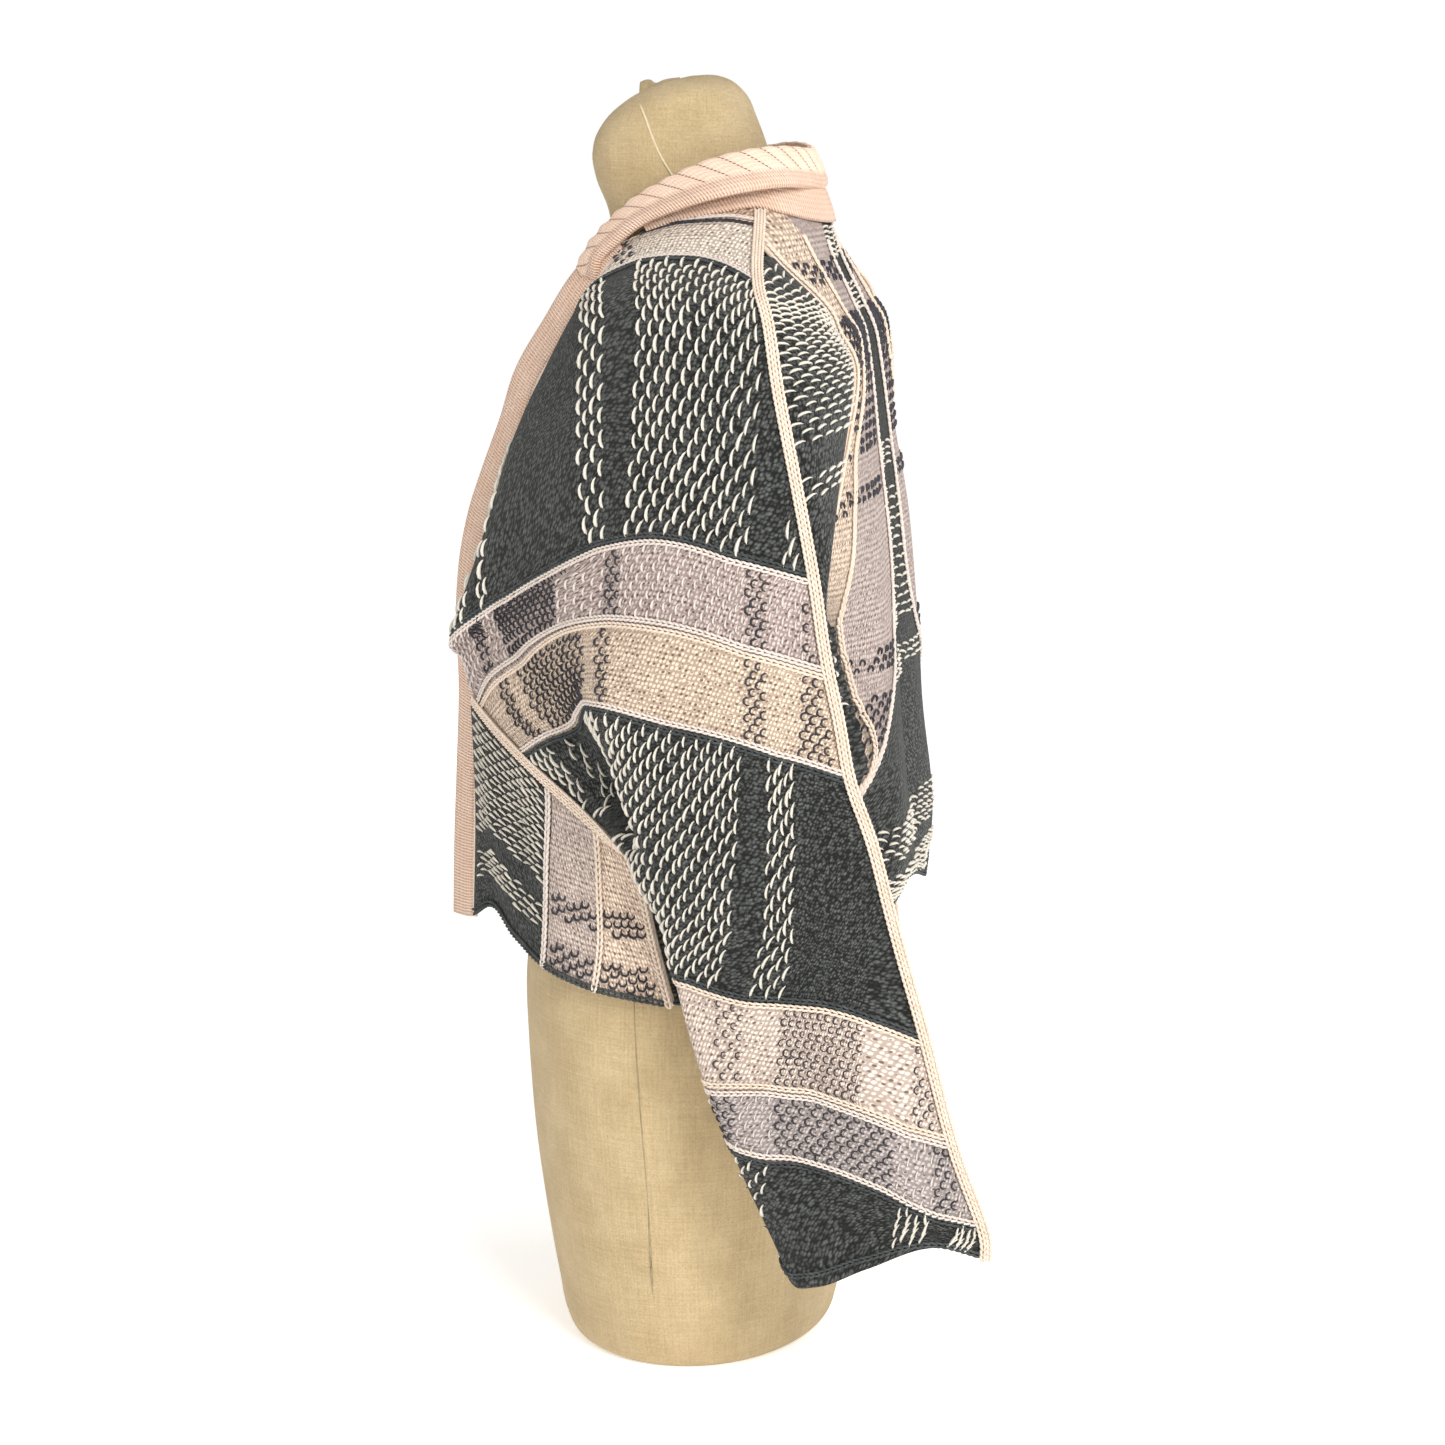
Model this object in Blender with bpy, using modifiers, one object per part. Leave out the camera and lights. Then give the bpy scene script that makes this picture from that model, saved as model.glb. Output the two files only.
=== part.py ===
"""A cropped, open knit cardigan with batwing sleeves, worn by a limbless dress form.

Frame: +Z up, the wearer's front is -Y and the wearer's left is +X. The origin is the centre of the
form's flat underside. The tables are in millimetres. The left half is worked out, and the right
half is its mirror image with the arm brought forwards, because the garment is worn a little twisted
and the right sleeve hangs straight down while the left one hangs back.
"""

import math

import bmesh
import bpy
import numpy as np

MM = 0.001
OBJECT_NAME = "cardigan_on_dress_form"

# Cloth and seams.
KNIT_WALL = 2.2
COLLAR_WALL = 2.4
SEAM_RADIUS = 3.0
SEAM_CLEAR = 4.0
SLEEVE_BACK_CLEAR = 4.9
LOWER_CLEAR = 3.15
COLLAR_COVERS = 60.0
SEAM_END_GAP = 4.2
BAND_THICK = 7.5
BAND_CLEAR = 1.7
UPPER_CLEAR = 4.3
FALL_THICK_AT_NECK = 6.5
FALL_THICK_AT_FOLD = 9.0
RIB_PITCH = 15.0
RIB_HEIGHT = 1.3
RIB_SLANT = 14.0
NECK_GAP = 0.4

# Colours, as linear red, green and blue.
DARK_KNIT = (0.075, 0.085, 0.086)
PINK_KNIT = (0.78, 0.62, 0.54)
PEACH_RIB = (0.90, 0.66, 0.55)
TAN_LINEN = (0.60, 0.48, 0.29)

# The front upper panel: a row for each line across it, at its distance down the cloth from the
# collar. Each row runs from the panel's front edge to the overarm seam.
FRONT_UPPER_COLUMNS = ("edge", "chest", "valley", "fold", "side", "rear", "seam")
FRONT_UPPER = {
    0: ((66, -40, 730), (69, -27, 736), (71, -15, 740), (73, -3, 744), (74, 12, 747), (70, 30, 751), (62, 47, 753)),
    70: ((56, -64, 696), (80, -50, 711), (105, -30, 717), (122, -8, 720), (136, 20, 720), (149, 46, 715), (160, 68, 708)),
    118: ((50, -84, 664), (84, -72, 680), (124, -45, 692), (154, -14, 699), (177, 20, 700), (185, 52, 696), (181, 78, 688)),
    172: ((45, -111, 612), (80, -99, 624), (120, -66, 636), (157, -32, 642), (190, 18, 646), (200, 58, 647), (191, 87, 644)),
    214: ((43, -131, 562), (84, -115, 578), (131, -78, 596), (171, -38, 604), (204, 20, 606), (212, 64, 601), (200, 99, 592)),
    260: ((46, -146, 478), (63, -155, 474), (104, -114, 510), (168, -45, 546), (211, 18, 562), (221, 68, 554), (209, 111, 538)),
    313: ((47, -149, 433), (73, -136, 458), (112, -99, 482), (168, -48, 505), (214, 20, 512), (224, 75, 503), (212, 120, 486)),
    342: ((75, -129, 419), (98, -113, 431), (134, -77, 452), (177, -48, 477), (217, 18, 482), (226, 78, 474), (213, 127, 455)),
    375: ((108, -101, 404), (126, -84, 411), (157, -43, 427), (191, -40, 450), (219, 14, 449), (228, 90, 440), (216, 134, 420)),
    420: ((142, -59, 380), (153, -42, 385), (165, -7, 392), (200, -22, 413), (222, 24, 405), (229, 102, 395), (217, 145, 382)),
    470: ((170, -12, 350), (177, -15, 352), (188, -12, 354), (204, 2, 351), (225, 40, 347), (231, 112, 340), (217, 154, 334)),
    538: ((190, 52, 304), (190, 38, 303), (193, 24, 300), (205, 17, 294), (224, 62, 281), (232, 138, 275), (219, 175, 260)),
    595: ((192, 64, 238), (192, 50, 237), (196, 38, 234), (206, 35, 229), (225, 88, 222), (233, 158, 211), (220, 194, 190)),
    645: ((193, 68, 178), (195, 59, 177), (200, 54, 176), (208, 57, 174), (225, 102, 173), (232, 172, 156), (220, 212, 142)),
    705: ((196, 87, 103), (201, 88, 98), (207, 94, 92), (215, 108, 95), (227, 142, 113), (231, 186, 131), (219, 214, 121)),
}

# The sleeve back panel, on the same distances. Each row runs from the overarm seam to the back
# armhole seam or, below the underarm point, to the underarm seam.
SLEEVE_BACK_COLUMNS = ("seam", "rear", "middle", "inner", "edge")
SLEEVE_BACK = {
    38: ((114, 58, 732), (115, 59, 732), (115, 60, 732), (116, 61, 732), (116, 62, 732)),
    70: ((160, 68, 708), (150, 80, 706), (138, 89, 704), (124, 95, 701), (108, 97, 699)),
    118: ((181, 78, 688), (169, 93, 686), (149, 104, 684), (124, 109, 680), (98, 109, 676)),
    172: ((191, 87, 644), (180, 101, 646), (157, 113, 648), (124, 120, 650), (90, 119, 648)),
    214: ((200, 99, 592), (192, 109, 595), (174, 116, 598), (150, 119, 600), (122, 116, 602)),
    260: ((209, 111, 538), (206, 117, 539), (200, 120, 542), (191, 119, 547), (181, 113, 553)),
    313: ((212, 120, 486), (208, 124, 484), (200, 118, 482), (188, 106, 482), (175, 94, 488)),
    375: ((216, 134, 420), (206, 130, 420), (197, 108, 422), (187, 88, 425), (171, 72, 430)),
    420: ((217, 145, 382), (206, 139, 382), (197, 104, 384), (187, 66, 388), (172, 35, 392)),
    470: ((217, 154, 334), (205, 146, 336), (197, 92, 344), (186, 34, 350), (170, -12, 350)),
    538: ((219, 175, 260), (206, 170, 263), (197, 118, 284), (192, 78, 297), (190, 52, 304)),
    595: ((220, 194, 190), (207, 189, 193), (198, 134, 218), (193, 92, 232), (192, 64, 238)),
    645: ((220, 212, 142), (207, 208, 144), (198, 150, 163), (193, 98, 176), (193, 68, 178)),
    705: ((219, 214, 121), (206, 211, 123), (198, 156, 119), (192, 110, 108), (196, 87, 103)),
}

# The back panel's left half: a row for each level, from the centre line outwards. The first value
# says where on its side seams the row ends: on the shoulder to 38, then down the back armhole seam
# to the underarm point at 470, then down the side seam to the hem.
BACK_COLUMNS = ("ends_at", "centre", "inner", "blade", "outer", "side")
BACK = (
    (0, (0, 83, 742), (18, 80, 743), (34, 74, 745), (47, 66, 747), (56, 57, 750)),
    (30, (0, 88, 721), (26, 87, 724), (50, 84, 727), (70, 79, 730), (88, 71, 733)),
    (76, (0, 101, 690), (26, 103, 691), (50, 104, 692), (70, 104, 693), (90, 101, 695)),
    (172, (0, 112, 648), (22, 115, 648), (42, 118, 648), (60, 120, 648), (76, 120, 648)),
    (205, (0, 118, 605), (26, 121, 605), (50, 124, 605), (73, 124, 605), (94, 121, 605)),
    (235, (0, 121, 578), (36, 126, 578), (72, 129, 578), (104, 127, 578), (132, 121, 578)),
    (262, (0, 124, 545), (40, 131, 545), (80, 134, 546), (118, 131, 548), (150, 123, 550)),
    (313, (0, 128, 484), (42, 137, 482), (84, 140, 482), (120, 133, 484), (150, 115, 486)),
    (375, (0, 133, 427), (42, 141, 426), (84, 143, 426), (118, 133, 427), (146, 108, 428)),
    (420, (0, 137, 390), (44, 143, 389), (86, 142, 388), (121, 124, 388), (149, 86, 390)),
    (470, (0, 142, 350), (46, 145, 347), (92, 139, 344), (131, 110, 344), (158, 56, 346)),
    (520, (0, 146, 328), (47, 145, 324), (94, 137, 320), (133, 106, 313), (161, 52, 306)),
    (570, (0, 149, 310), (49, 144, 322), (95, 136, 312), (134, 104, 292), (162, 56, 272)),
)
SHOULDER_ENDS, FRONT_SEAM_AT, UNDERARM_AT, HEM_AT, CUFF_AT = 38, 313, 470, 570, 705

# The side seam, from the underarm point to the hem.
SIDE_SEAM = ((170, -12, 350), (174, -2, 306), (176, 10, 260))

# The front lower panel: a row for each level, from the front band to the side seam. Its first row
# is the diagonal front seam.
FRONT_LOWER_COLUMNS = ("edge", "tuck", "dark", "lilac", "pink", "side")
FRONT_LOWER = {
    0: ((47, -149, 433), (75, -129, 419), (108, -101, 404), (130, -75, 389), (154, -40, 369), (170, -12, 350)),
    78: ((45, -147, 355), (62, -136, 350), (100, -110, 345), (128, -85, 342), (157, -45, 326), (174, -2, 306)),
    150: ((45, -149, 280), (60, -134, 291), (100, -107, 280), (129, -84, 271), (160, -44, 264), (176, 10, 260)),
}

# The front band, from the collar to the hem: its inner and outer edges.
FRONT_BAND_COLUMNS = ("inner", "outer")
FRONT_BAND = (
    ((33, -79, 708), (57, -60, 701)),
    ((26, -101, 676), (50, -81, 669)),
    ((20, -121, 644), (45, -102, 637)),
    ((15, -134, 608), (42, -114, 604)),
    ((13, -145, 580), (41, -125, 577)),
    ((12, -156, 548), (41, -136, 546)),
    ((12, -162, 520), (41, -142, 519)),
    ((12, -165, 488), (41, -146, 488)),
    ((12, -164, 427), (41, -145, 427)),
    ((12, -166, 379), (41, -147, 381)),
    ((12, -169, 316), (41, -149, 319)),
    ((12, -170, 274), (41, -150, 278)),
)

# The collar, from the front band to the centre back: the fall's upper edge by the neck, and the
# fold along its outer edge.
COLLAR_COLUMNS = ("upper", "fold")
COLLAR = (
    ((34.0, -76.8, 711.5), (58.0, -58.4, 704.3)),
    ((42, -66, 726.4), (66, -56, 716.6)),
    ((52, -51, 742), (75, -44, 728.3)),
    ((59, -33, 757), (82, -27, 741)),
    ((63, -12, 769), (91, -1, 753)),
    ((64, 12, 780), (95, 24, 761)),
    ((56, 37, 787), (88, 48, 766)),
    ((38, 54, 789), (68, 68, 768)),
    ((19, 64, 788), (35, 80, 766)),
    ((0, 67, 787), (0, 84, 763)),
)
STAND_FROM = 3
STAND_SKIPS = 1
STAND_INSIDE = 7.5
STAND_UNDER = 5.5

# How far forwards the right side lies, from the hem up: a row for each height. It grows from
# nothing near the front band to the whole at the arm. The body follows only down to the underarm.
ARM_FORWARD_COLUMNS = ("height", "forward")
ARM_FORWARD = ((60, 96), (120, 93), (200, 87), (255, 78), (300, 56), (350, 42), (420, 31), (490, 24), (560, 19), (700, 14))
ARM_FORWARD_FROM, ARM_FORWARD_OVER = 60, 130
UNDERARM_HEIGHT = 350

# The dress form, from its underside to the top of its neck: the height of each section, half its
# width, its front and back, and how far its front dips, in degrees.
FORM_COLUMNS = ("height", "half_width", "front", "back", "dip")
FORM = (
    (0, 119, -85, 82, 0),
    (3, 124, -89, 86, 0),
    (12, 129, -93, 89, 0),
    (34, 135, -97, 93, 0),
    (70, 143, -103, 99, 0),
    (140, 155, -112, 106, 0),
    (200, 160, -116, 110, 0),
    (245, 160, -117, 109, 0),
    (300, 153, -110, 100, 0),
    (350, 141, -101, 88, 0),
    (390, 134, -97, 81, 0),
    (440, 139, -105, 84, 0),
    (490, 143, -121, 90, 0),
    (525, 147, -129, 96, 0),
    (560, 151, -121, 101, 0),
    (600, 156, -104, 103, 0),
    (640, 161, -86, 101, 0),
    (668, 163, -71, 92, 0),
    (686, 158.4, -62, 80, 0),
    (699.4, 143.3, -56, 70, 0),
    (710.4, 119.3, -53, 64, 0),
    (722, 92, -56, 59, 0),
    (735, 68, -59, 55, -1),
    (752, 54, -63, 50, -3),
    (775, 50, -71, 43, -8),
    (795, 49, -74, 35, -12),
    (808, 46, -71, 29, -14),
    (817, 43, -64, 21, -15),
    (825, 33, -50, 9, -15),
    (829, 17, -34, -7, -15),
)
FORM_SQUARENESS = 2.05

# The small cloth tab on top of the neck.
TAB_SIZE = (10, 13, 2.0)
TAB_PLACE = (12, -38, 825.6)
TAB_DIP = -15

# Numbers of faces.
ROW_STEP = 23.5
FRONT_UPPER_ACROSS = 16
SLEEVE_BACK_ACROSS = 8
BACK_ACROSS = 10
BACK_SHOULDER_ROWS = (0, 19, SHOULDER_ENDS)
BACK_SIDE_ROWS = 4
FRONT_LOWER_FACES = (6, 11)
FORM_FACES = (32, 26)
BAND_FACES = 26
STATIONS_PER_RIB = 2
STAND_POINTS = 45
FINE_STEP = 1.5
FINE_ROW = 220


def clear_scene():
    """Remove whatever objects the scene holds."""
    for old in list(bpy.data.objects):
        bpy.data.objects.remove(old, do_unlink=True)


def make_material(name, color, roughness):
    """A plain cloth material."""
    material = bpy.data.materials.new(name)
    material.use_nodes = True
    shader = material.node_tree.nodes["Principled BSDF"]
    shader.inputs["Base Color"].default_value = (*color, 1.0)
    shader.inputs["Roughness"].default_value = roughness
    shader.inputs["Metallic"].default_value = 0.0
    return material


def smooth(knots, values, at):
    """Read a smooth curve through values, one for each knot, at the given places."""
    knots = np.asarray(knots, float)
    values = np.asarray(values, float)
    steps = np.diff(knots)
    wide = steps.reshape((-1,) + (1,) * (values.ndim - 1))
    rates = np.diff(values, axis=0) / wide
    slopes = np.empty_like(values)
    slopes[0] = rates[0]
    slopes[-1] = rates[-1]
    slopes[1:-1] = (rates[:-1] * wide[1:] + rates[1:] * wide[:-1]) / (wide[1:] + wide[:-1])
    at = np.atleast_1d(np.asarray(at, float))
    span = np.clip(np.searchsorted(knots, at, side="right") - 1, 0, len(knots) - 2)
    share = ((at - knots[span]) / steps[span]).reshape((-1,) + (1,) * (values.ndim - 1))
    step = wide[span]
    return (
        values[span] * (1 + 2 * share) * (1 - share) ** 2
        + slopes[span] * step * share * (1 - share) ** 2
        + values[span + 1] * share**2 * (3 - 2 * share)
        + slopes[span + 1] * step * share**2 * (share - 1)
    )


def lengths_along(points):
    """Distance along a line of points to each of them."""
    return np.concatenate([[0.0], np.cumsum(np.linalg.norm(np.diff(points, axis=0), axis=1))])


def curve_through(points, count):
    """A smooth line of count points through a few given ones, evenly spaced."""
    points = np.asarray(points, float)
    chords = lengths_along(points)
    fine = smooth(chords, points, np.linspace(0, chords[-1], 4 * count))
    along = lengths_along(fine)
    return smooth(along, fine, np.linspace(0, along[-1], count))


def table_row(table, distance):
    """The points of a panel's table at one distance down the cloth."""
    return smooth(list(table), list(table.values()), distance)[0]


def clearance(points, line):
    """Distance from each point to the nearest point of a line."""
    return np.sqrt(((points[:, None] - line[None]) ** 2).sum(axis=2)).min(axis=1)


def first_clear(row, line, clear):
    """Where, in steps along a row, it has left the seam at its start by the wanted distance."""
    gaps = clearance(row, line)
    nearest = int(gaps[: len(row) // 2].argmin())
    if gaps[nearest] >= clear:
        return 0.0
    past = nearest + int(np.argmax(gaps[nearest:] >= clear))
    return past - (gaps[past] - clear) / (gaps[past] - gaps[past - 1])


def trimmed(row, count, start=None, end=None, clear=SEAM_CLEAR):
    """A row cut back from the seams at its ends, as count evenly spaced points."""
    low = 0.0 if start is None else first_clear(row, start, clear)
    high = len(row) - 1.0
    if end is not None:
        high -= first_clear(row[::-1], end, clear)
    places = np.linspace(low, high, count)
    return smooth(np.arange(len(row)), row, places)


def right_side(points, sleeve=False):
    """The right side's points for the left side's: mirrored, and further forwards at the arm."""
    points = np.array(points, float)
    heights = points[..., 2] if sleeve else np.maximum(points[..., 2], UNDERARM_HEIGHT)
    forward = smooth([row[0] for row in ARM_FORWARD], [[row[1]] for row in ARM_FORWARD], heights.ravel())
    share = np.clip((points[..., 0] - ARM_FORWARD_FROM) / ARM_FORWARD_OVER, 0, 1)
    points[..., 1] -= forward.reshape(heights.shape) * share**2 * (3 - 2 * share)
    points[..., 0] *= -1
    return points


def row_places(first, last):
    """The ends of a stretch of cloth and the distances of the rows between them."""
    rows = [k * ROW_STEP for k in range(int(CUFF_AT / ROW_STEP) + 1)]
    return [first] + [row for row in rows if first < row < last] + [last]


def seam_line(table, column, first, last):
    """A seam line's points, one at each row of the panels that it joins."""
    return smooth(list(table), list(table.values()), row_places(first, last))[:, column]


def closely(*lines):
    """Straight runs through lines of points, as closely spaced points."""
    points = np.concatenate(lines)
    along = lengths_along(points)
    places = np.linspace(0, along[-1], int(along[-1] / FINE_STEP) + 1)
    return np.stack([np.interp(places, along, points[:, axis]) for axis in range(3)], axis=1)


def left_seams():
    """The seam lines of the left side, by name."""
    return {
        "shoulder": seam_line(FRONT_UPPER, 6, 0, SHOULDER_ENDS),
        "overarm_seam": seam_line(FRONT_UPPER, 6, 0, CUFF_AT),
        "front_seam": seam_line(FRONT_UPPER, 0, FRONT_SEAM_AT, UNDERARM_AT),
        "underarm_seam": seam_line(FRONT_UPPER, 0, UNDERARM_AT, CUFF_AT),
        "back_seam": seam_line(SLEEVE_BACK, 4, SHOULDER_ENDS, UNDERARM_AT),
        "side_seam": curve_through(SIDE_SEAM, BACK_SIDE_ROWS + 1),
    }


def band_outer_line():
    """The outer edge of the front band, on to the neckline under the collar."""
    return curve_through([row[1] for row in FRONT_BAND], BAND_FACES + 1)


def front_upper_grid(seams):
    """The front upper panel, collar to cuff."""
    band = closely(band_outer_line())
    start = closely(seams["front_seam"], seams["underarm_seam"])
    end = closely(seams["overarm_seam"])
    rows = []
    for distance in row_places(0, CUFF_AT):
        row = curve_through(table_row(FRONT_UPPER, distance), FINE_ROW)
        row = trimmed(row, FINE_ROW, band, None, BAND_CLEAR if distance > COLLAR_COVERS else UPPER_CLEAR)
        rows.append(trimmed(row, FRONT_UPPER_ACROSS + 1, start, end, UPPER_CLEAR))
    return np.array(rows)


def sleeve_back_grid(seams):
    """The sleeve back panel, from where it widens on the shoulder to the cuff."""
    start = closely(seams["overarm_seam"])
    end = closely(seams["back_seam"], seams["underarm_seam"])
    rows = []
    for distance in row_places(SHOULDER_ENDS, CUFF_AT)[1:]:
        row = curve_through(table_row(SLEEVE_BACK, distance), FINE_ROW)
        rows.append(trimmed(row, SLEEVE_BACK_ACROSS + 1, start, end, SLEEVE_BACK_CLEAR))
    return np.array(rows)


def back_edge(seams, place):
    """The point on the back panel's side edge at one place along it."""
    if place <= SHOULDER_ENDS:
        return table_row(FRONT_UPPER, place)[6]
    if place <= UNDERARM_AT:
        return table_row(SLEEVE_BACK, place)[4]
    row = (place - UNDERARM_AT) / (HEM_AT - UNDERARM_AT) * BACK_SIDE_ROWS
    return seams["side_seam"][round(row)]


def back_grid(seams):
    """The left half of the back panel, neckline to hem, from the centre line outwards."""
    seam = closely(seams["shoulder"], seams["back_seam"], seams["side_seam"])
    side_rows = np.linspace(UNDERARM_AT, HEM_AT, BACK_SIDE_ROWS + 1)[1:]
    places = [*BACK_SHOULDER_ROWS, *row_places(SHOULDER_ENDS, UNDERARM_AT)[1:], *side_rows]
    rows = []
    for place in places:
        inner = smooth([row[0] for row in BACK], [row[1:] for row in BACK], place)[0]
        row = curve_through(np.vstack([inner, back_edge(seams, place)]), FINE_ROW)
        clear = SEAM_CLEAR if place <= UNDERARM_AT else LOWER_CLEAR
        rows.append(trimmed(row, BACK_ACROSS + 1, None, seam, clear))
    return np.array(rows)


def front_lower_grid(seams):
    """The front lower panel, from the diagonal seam to the hem."""
    down, across = FRONT_LOWER_FACES
    band = closely(band_outer_line())
    side = closely(seams["side_seam"])
    top = closely(seams["front_seam"])
    fine = []
    for distance in np.linspace(0, 150, 60):
        row = curve_through(table_row(FRONT_LOWER, distance), FINE_ROW)
        low = trimmed(row, FINE_ROW, band, None, BAND_CLEAR)
        fine.append(trimmed(low, across + 1, None, side, LOWER_CLEAR))
    fine = np.array(fine)
    columns = [trimmed(fine[:, i], down + 1, top, None, LOWER_CLEAR) for i in range(across + 1)]
    return np.array(columns).transpose(1, 0, 2)


def link(name, mesh, material):
    """Put a mesh in the scene as a named object."""
    obj = bpy.data.objects.new(name, mesh)
    bpy.data.collections[OBJECT_NAME].objects.link(obj)
    mesh.materials.append(material)
    mesh.shade_smooth()
    mesh.set_sharp_from_angle(angle=math.radians(50))
    return obj


def grid_mesh(name, grid, turned):
    """A sheet of quads through a grid of points, facing the other way if turned."""
    down, across = grid.shape[:2]
    points = [tuple(point * MM) for point in grid.reshape(-1, 3)]
    faces = []
    for i in range(down - 1):
        for j in range(across - 1):
            corner = i * across + j
            face = (corner, corner + across, corner + across + 1, corner + 1)
            faces.append(face[::-1] if turned else face)
    mesh = bpy.data.meshes.new(name)
    mesh.from_pydata(points, [], faces)
    return mesh


def add_wall(obj, thickness):
    """Give a sheet its thickness, on its inner side."""
    solidify = obj.modifiers.new("wall", "SOLIDIFY")
    solidify.thickness = thickness * MM
    solidify.offset = -1.0


def cloth_panel(name, grid, material, turned=False, wall=KNIT_WALL):
    """One cut piece of cloth, with its wall on the inner side of the given points."""
    obj = link(name, grid_mesh(name, grid, turned), material)
    add_wall(obj, wall)
    return obj


def ring_mesh(name, rings):
    """A closed body through rings of points, with a flat face at each end."""
    rings = np.asarray(rings, float)
    around = rings.shape[1]
    mesh = bmesh.new()
    corners = [[mesh.verts.new(tuple(point * MM)) for point in ring] for ring in rings]
    for low, high in zip(corners[:-1], corners[1:]):
        for j in range(around):
            k = (j + 1) % around
            mesh.faces.new((low[j], low[k], high[k], high[j]))
    mesh.faces.new(corners[0][::-1])
    mesh.faces.new(corners[-1])
    bmesh.ops.recalc_face_normals(mesh, faces=mesh.faces)
    made = bpy.data.meshes.new(name)
    mesh.to_mesh(made)
    mesh.free()
    return made


def dress_form_rings():
    """The covered torso, as level rings that tip forwards up the neck."""
    count, around = FORM_FACES
    heights = [row[0] for row in FORM]
    steps = lengths_along(np.array([(row[0], row[1]) for row in FORM], float))
    rings = []
    for place in smooth(np.arange(len(FORM)), steps[:, None], np.linspace(0, len(FORM) - 1, count + 1))[:, 0]:
        height, half, front, back, dip = smooth(steps, FORM, place)[0]
        middle, depth = (front + back) / 2, (back - front) / 2
        ring = []
        for k in range(around):
            turn = 2 * math.pi * k / around
            c, s = math.cos(turn), math.sin(turn)
            reach = (abs(c) ** FORM_SQUARENESS + abs(s) ** FORM_SQUARENESS) ** (-1 / FORM_SQUARENESS)
            y = depth * reach * s
            ring.append(
                (
                    half * reach * c,
                    middle + y * math.cos(math.radians(dip)),
                    max(height, heights[0]) - y * math.sin(math.radians(dip)),
                )
            )
        rings.append(ring)
    return rings


def make_dress_form(material):
    """The dress form and the tab on its neck."""
    link("dress_form", ring_mesh("dress_form", dress_form_rings()), material)
    bpy.ops.mesh.primitive_cube_add(size=1)
    tab = bpy.context.active_object
    tab.name = "neck_tab"
    tab.data.name = "neck_tab"
    tab.scale = [side * MM for side in TAB_SIZE]
    bpy.ops.object.transform_apply(location=False, rotation=False, scale=True)
    tab.location = [place * MM for place in TAB_PLACE]
    tab.rotation_euler = (math.radians(-TAB_DIP), 0, 0)
    tab.data.materials.append(material)
    for holder in list(tab.users_collection):
        holder.objects.unlink(tab)
    bpy.data.collections[OBJECT_NAME].objects.link(tab)


def strip_rings(inner, outer, section):
    """Rings of a strip between two edge lines. The section gives each corner's share of the width
    and its height over the strip's middle."""
    rings = []
    for i in range(len(inner)):
        before, after = max(i - 1, 0), min(i + 1, len(inner) - 1)
        across = outer[i] - inner[i]
        along = inner[after] - inner[before] + outer[after] - outer[before]
        up = np.cross(along, across)
        up /= np.linalg.norm(up)
        rings.append([inner[i] + across * share + up * height for share, height in section(i)])
    return rings


def band_section(_):
    """A flat rib strip with rounded edges."""
    half = BAND_THICK / 2
    return (
        (0.0, -0.45 * half),
        (0.0, 0.45 * half),
        (0.12, half),
        (0.88, half),
        (1.0, 0.45 * half),
        (1.0, -0.45 * half),
        (0.88, -half),
        (0.12, -half),
    )


def front_band_rings():
    """The ribbed strip down the left front edge."""
    inner = curve_through([row[0] for row in FRONT_BAND], BAND_FACES + 1)
    outer = curve_through([row[1] for row in FRONT_BAND], BAND_FACES + 1)
    return np.array(strip_rings(inner, outer, band_section))


def both_sides(points):
    """A line from the right front round the neck to the left front, given its left half."""
    points = np.asarray(points, float)
    return np.concatenate([right_side(points), points[-2::-1]])


def fall_section(along):
    """The fall's outline at one distance along it: the ribs are raised on its upper side only."""

    def top(share):
        thick = FALL_THICK_AT_NECK + (FALL_THICK_AT_FOLD - FALL_THICK_AT_NECK) * share
        turn = 2 * math.pi * (along + RIB_SLANT * share) / RIB_PITCH
        return thick / 2 + RIB_HEIGHT * (0.5 + 0.5 * math.cos(turn)) * (share < 0.7)

    low_neck, low_fold = FALL_THICK_AT_NECK / 2, FALL_THICK_AT_FOLD / 2
    return (
        (0.0, 0.0),
        (0.07, 0.75 * top(0.07)),
        (0.3, top(0.3)),
        (0.55, top(0.55)),
        (0.82, top(0.82)),
        (0.98, 0.5 * top(0.98)),
        (1.0, -0.3 * low_fold),
        (0.86, -low_fold),
        (0.45, -low_neck),
        (0.1, -0.8 * low_neck),
    )


def make_collar(material, front_neck, back_neck):
    """The rolled fall with its raised ribs, and the stand that carries it from the neckline."""
    upper, fold = (np.array([row[i] for row in COLLAR], float) for i in range(2))
    length = 2 * lengths_along(curve_through(fold, FINE_ROW))[-1]
    ribs = int(length / RIB_PITCH)
    stations = ribs * STATIONS_PER_RIB + 1
    rings = strip_rings(
        curve_through(both_sides(upper), stations),
        curve_through(both_sides(fold), stations),
        lambda i: fall_section(RIB_PITCH * i / STATIONS_PER_RIB),
    )
    link("collar", ring_mesh("collar", rings), material)

    neckline = both_sides(np.concatenate([front_neck[STAND_SKIPS:], back_neck[::-1]]))
    inward = (upper - fold)[STAND_FROM:] * (1, 1, 0)
    inward /= np.linalg.norm(inward, axis=1)[:, None]
    under = upper[STAND_FROM:] + inward * STAND_INSIDE - (0, 0, STAND_UNDER)
    low = curve_through(neckline, STAND_POINTS)
    high = curve_through(both_sides(under), STAND_POINTS)
    rise = high - low
    rise /= np.linalg.norm(rise, axis=1)[:, None]
    cloth_panel("collar_stand", np.array([high, low + rise * NECK_GAP]), material, wall=COLLAR_WALL)


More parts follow.
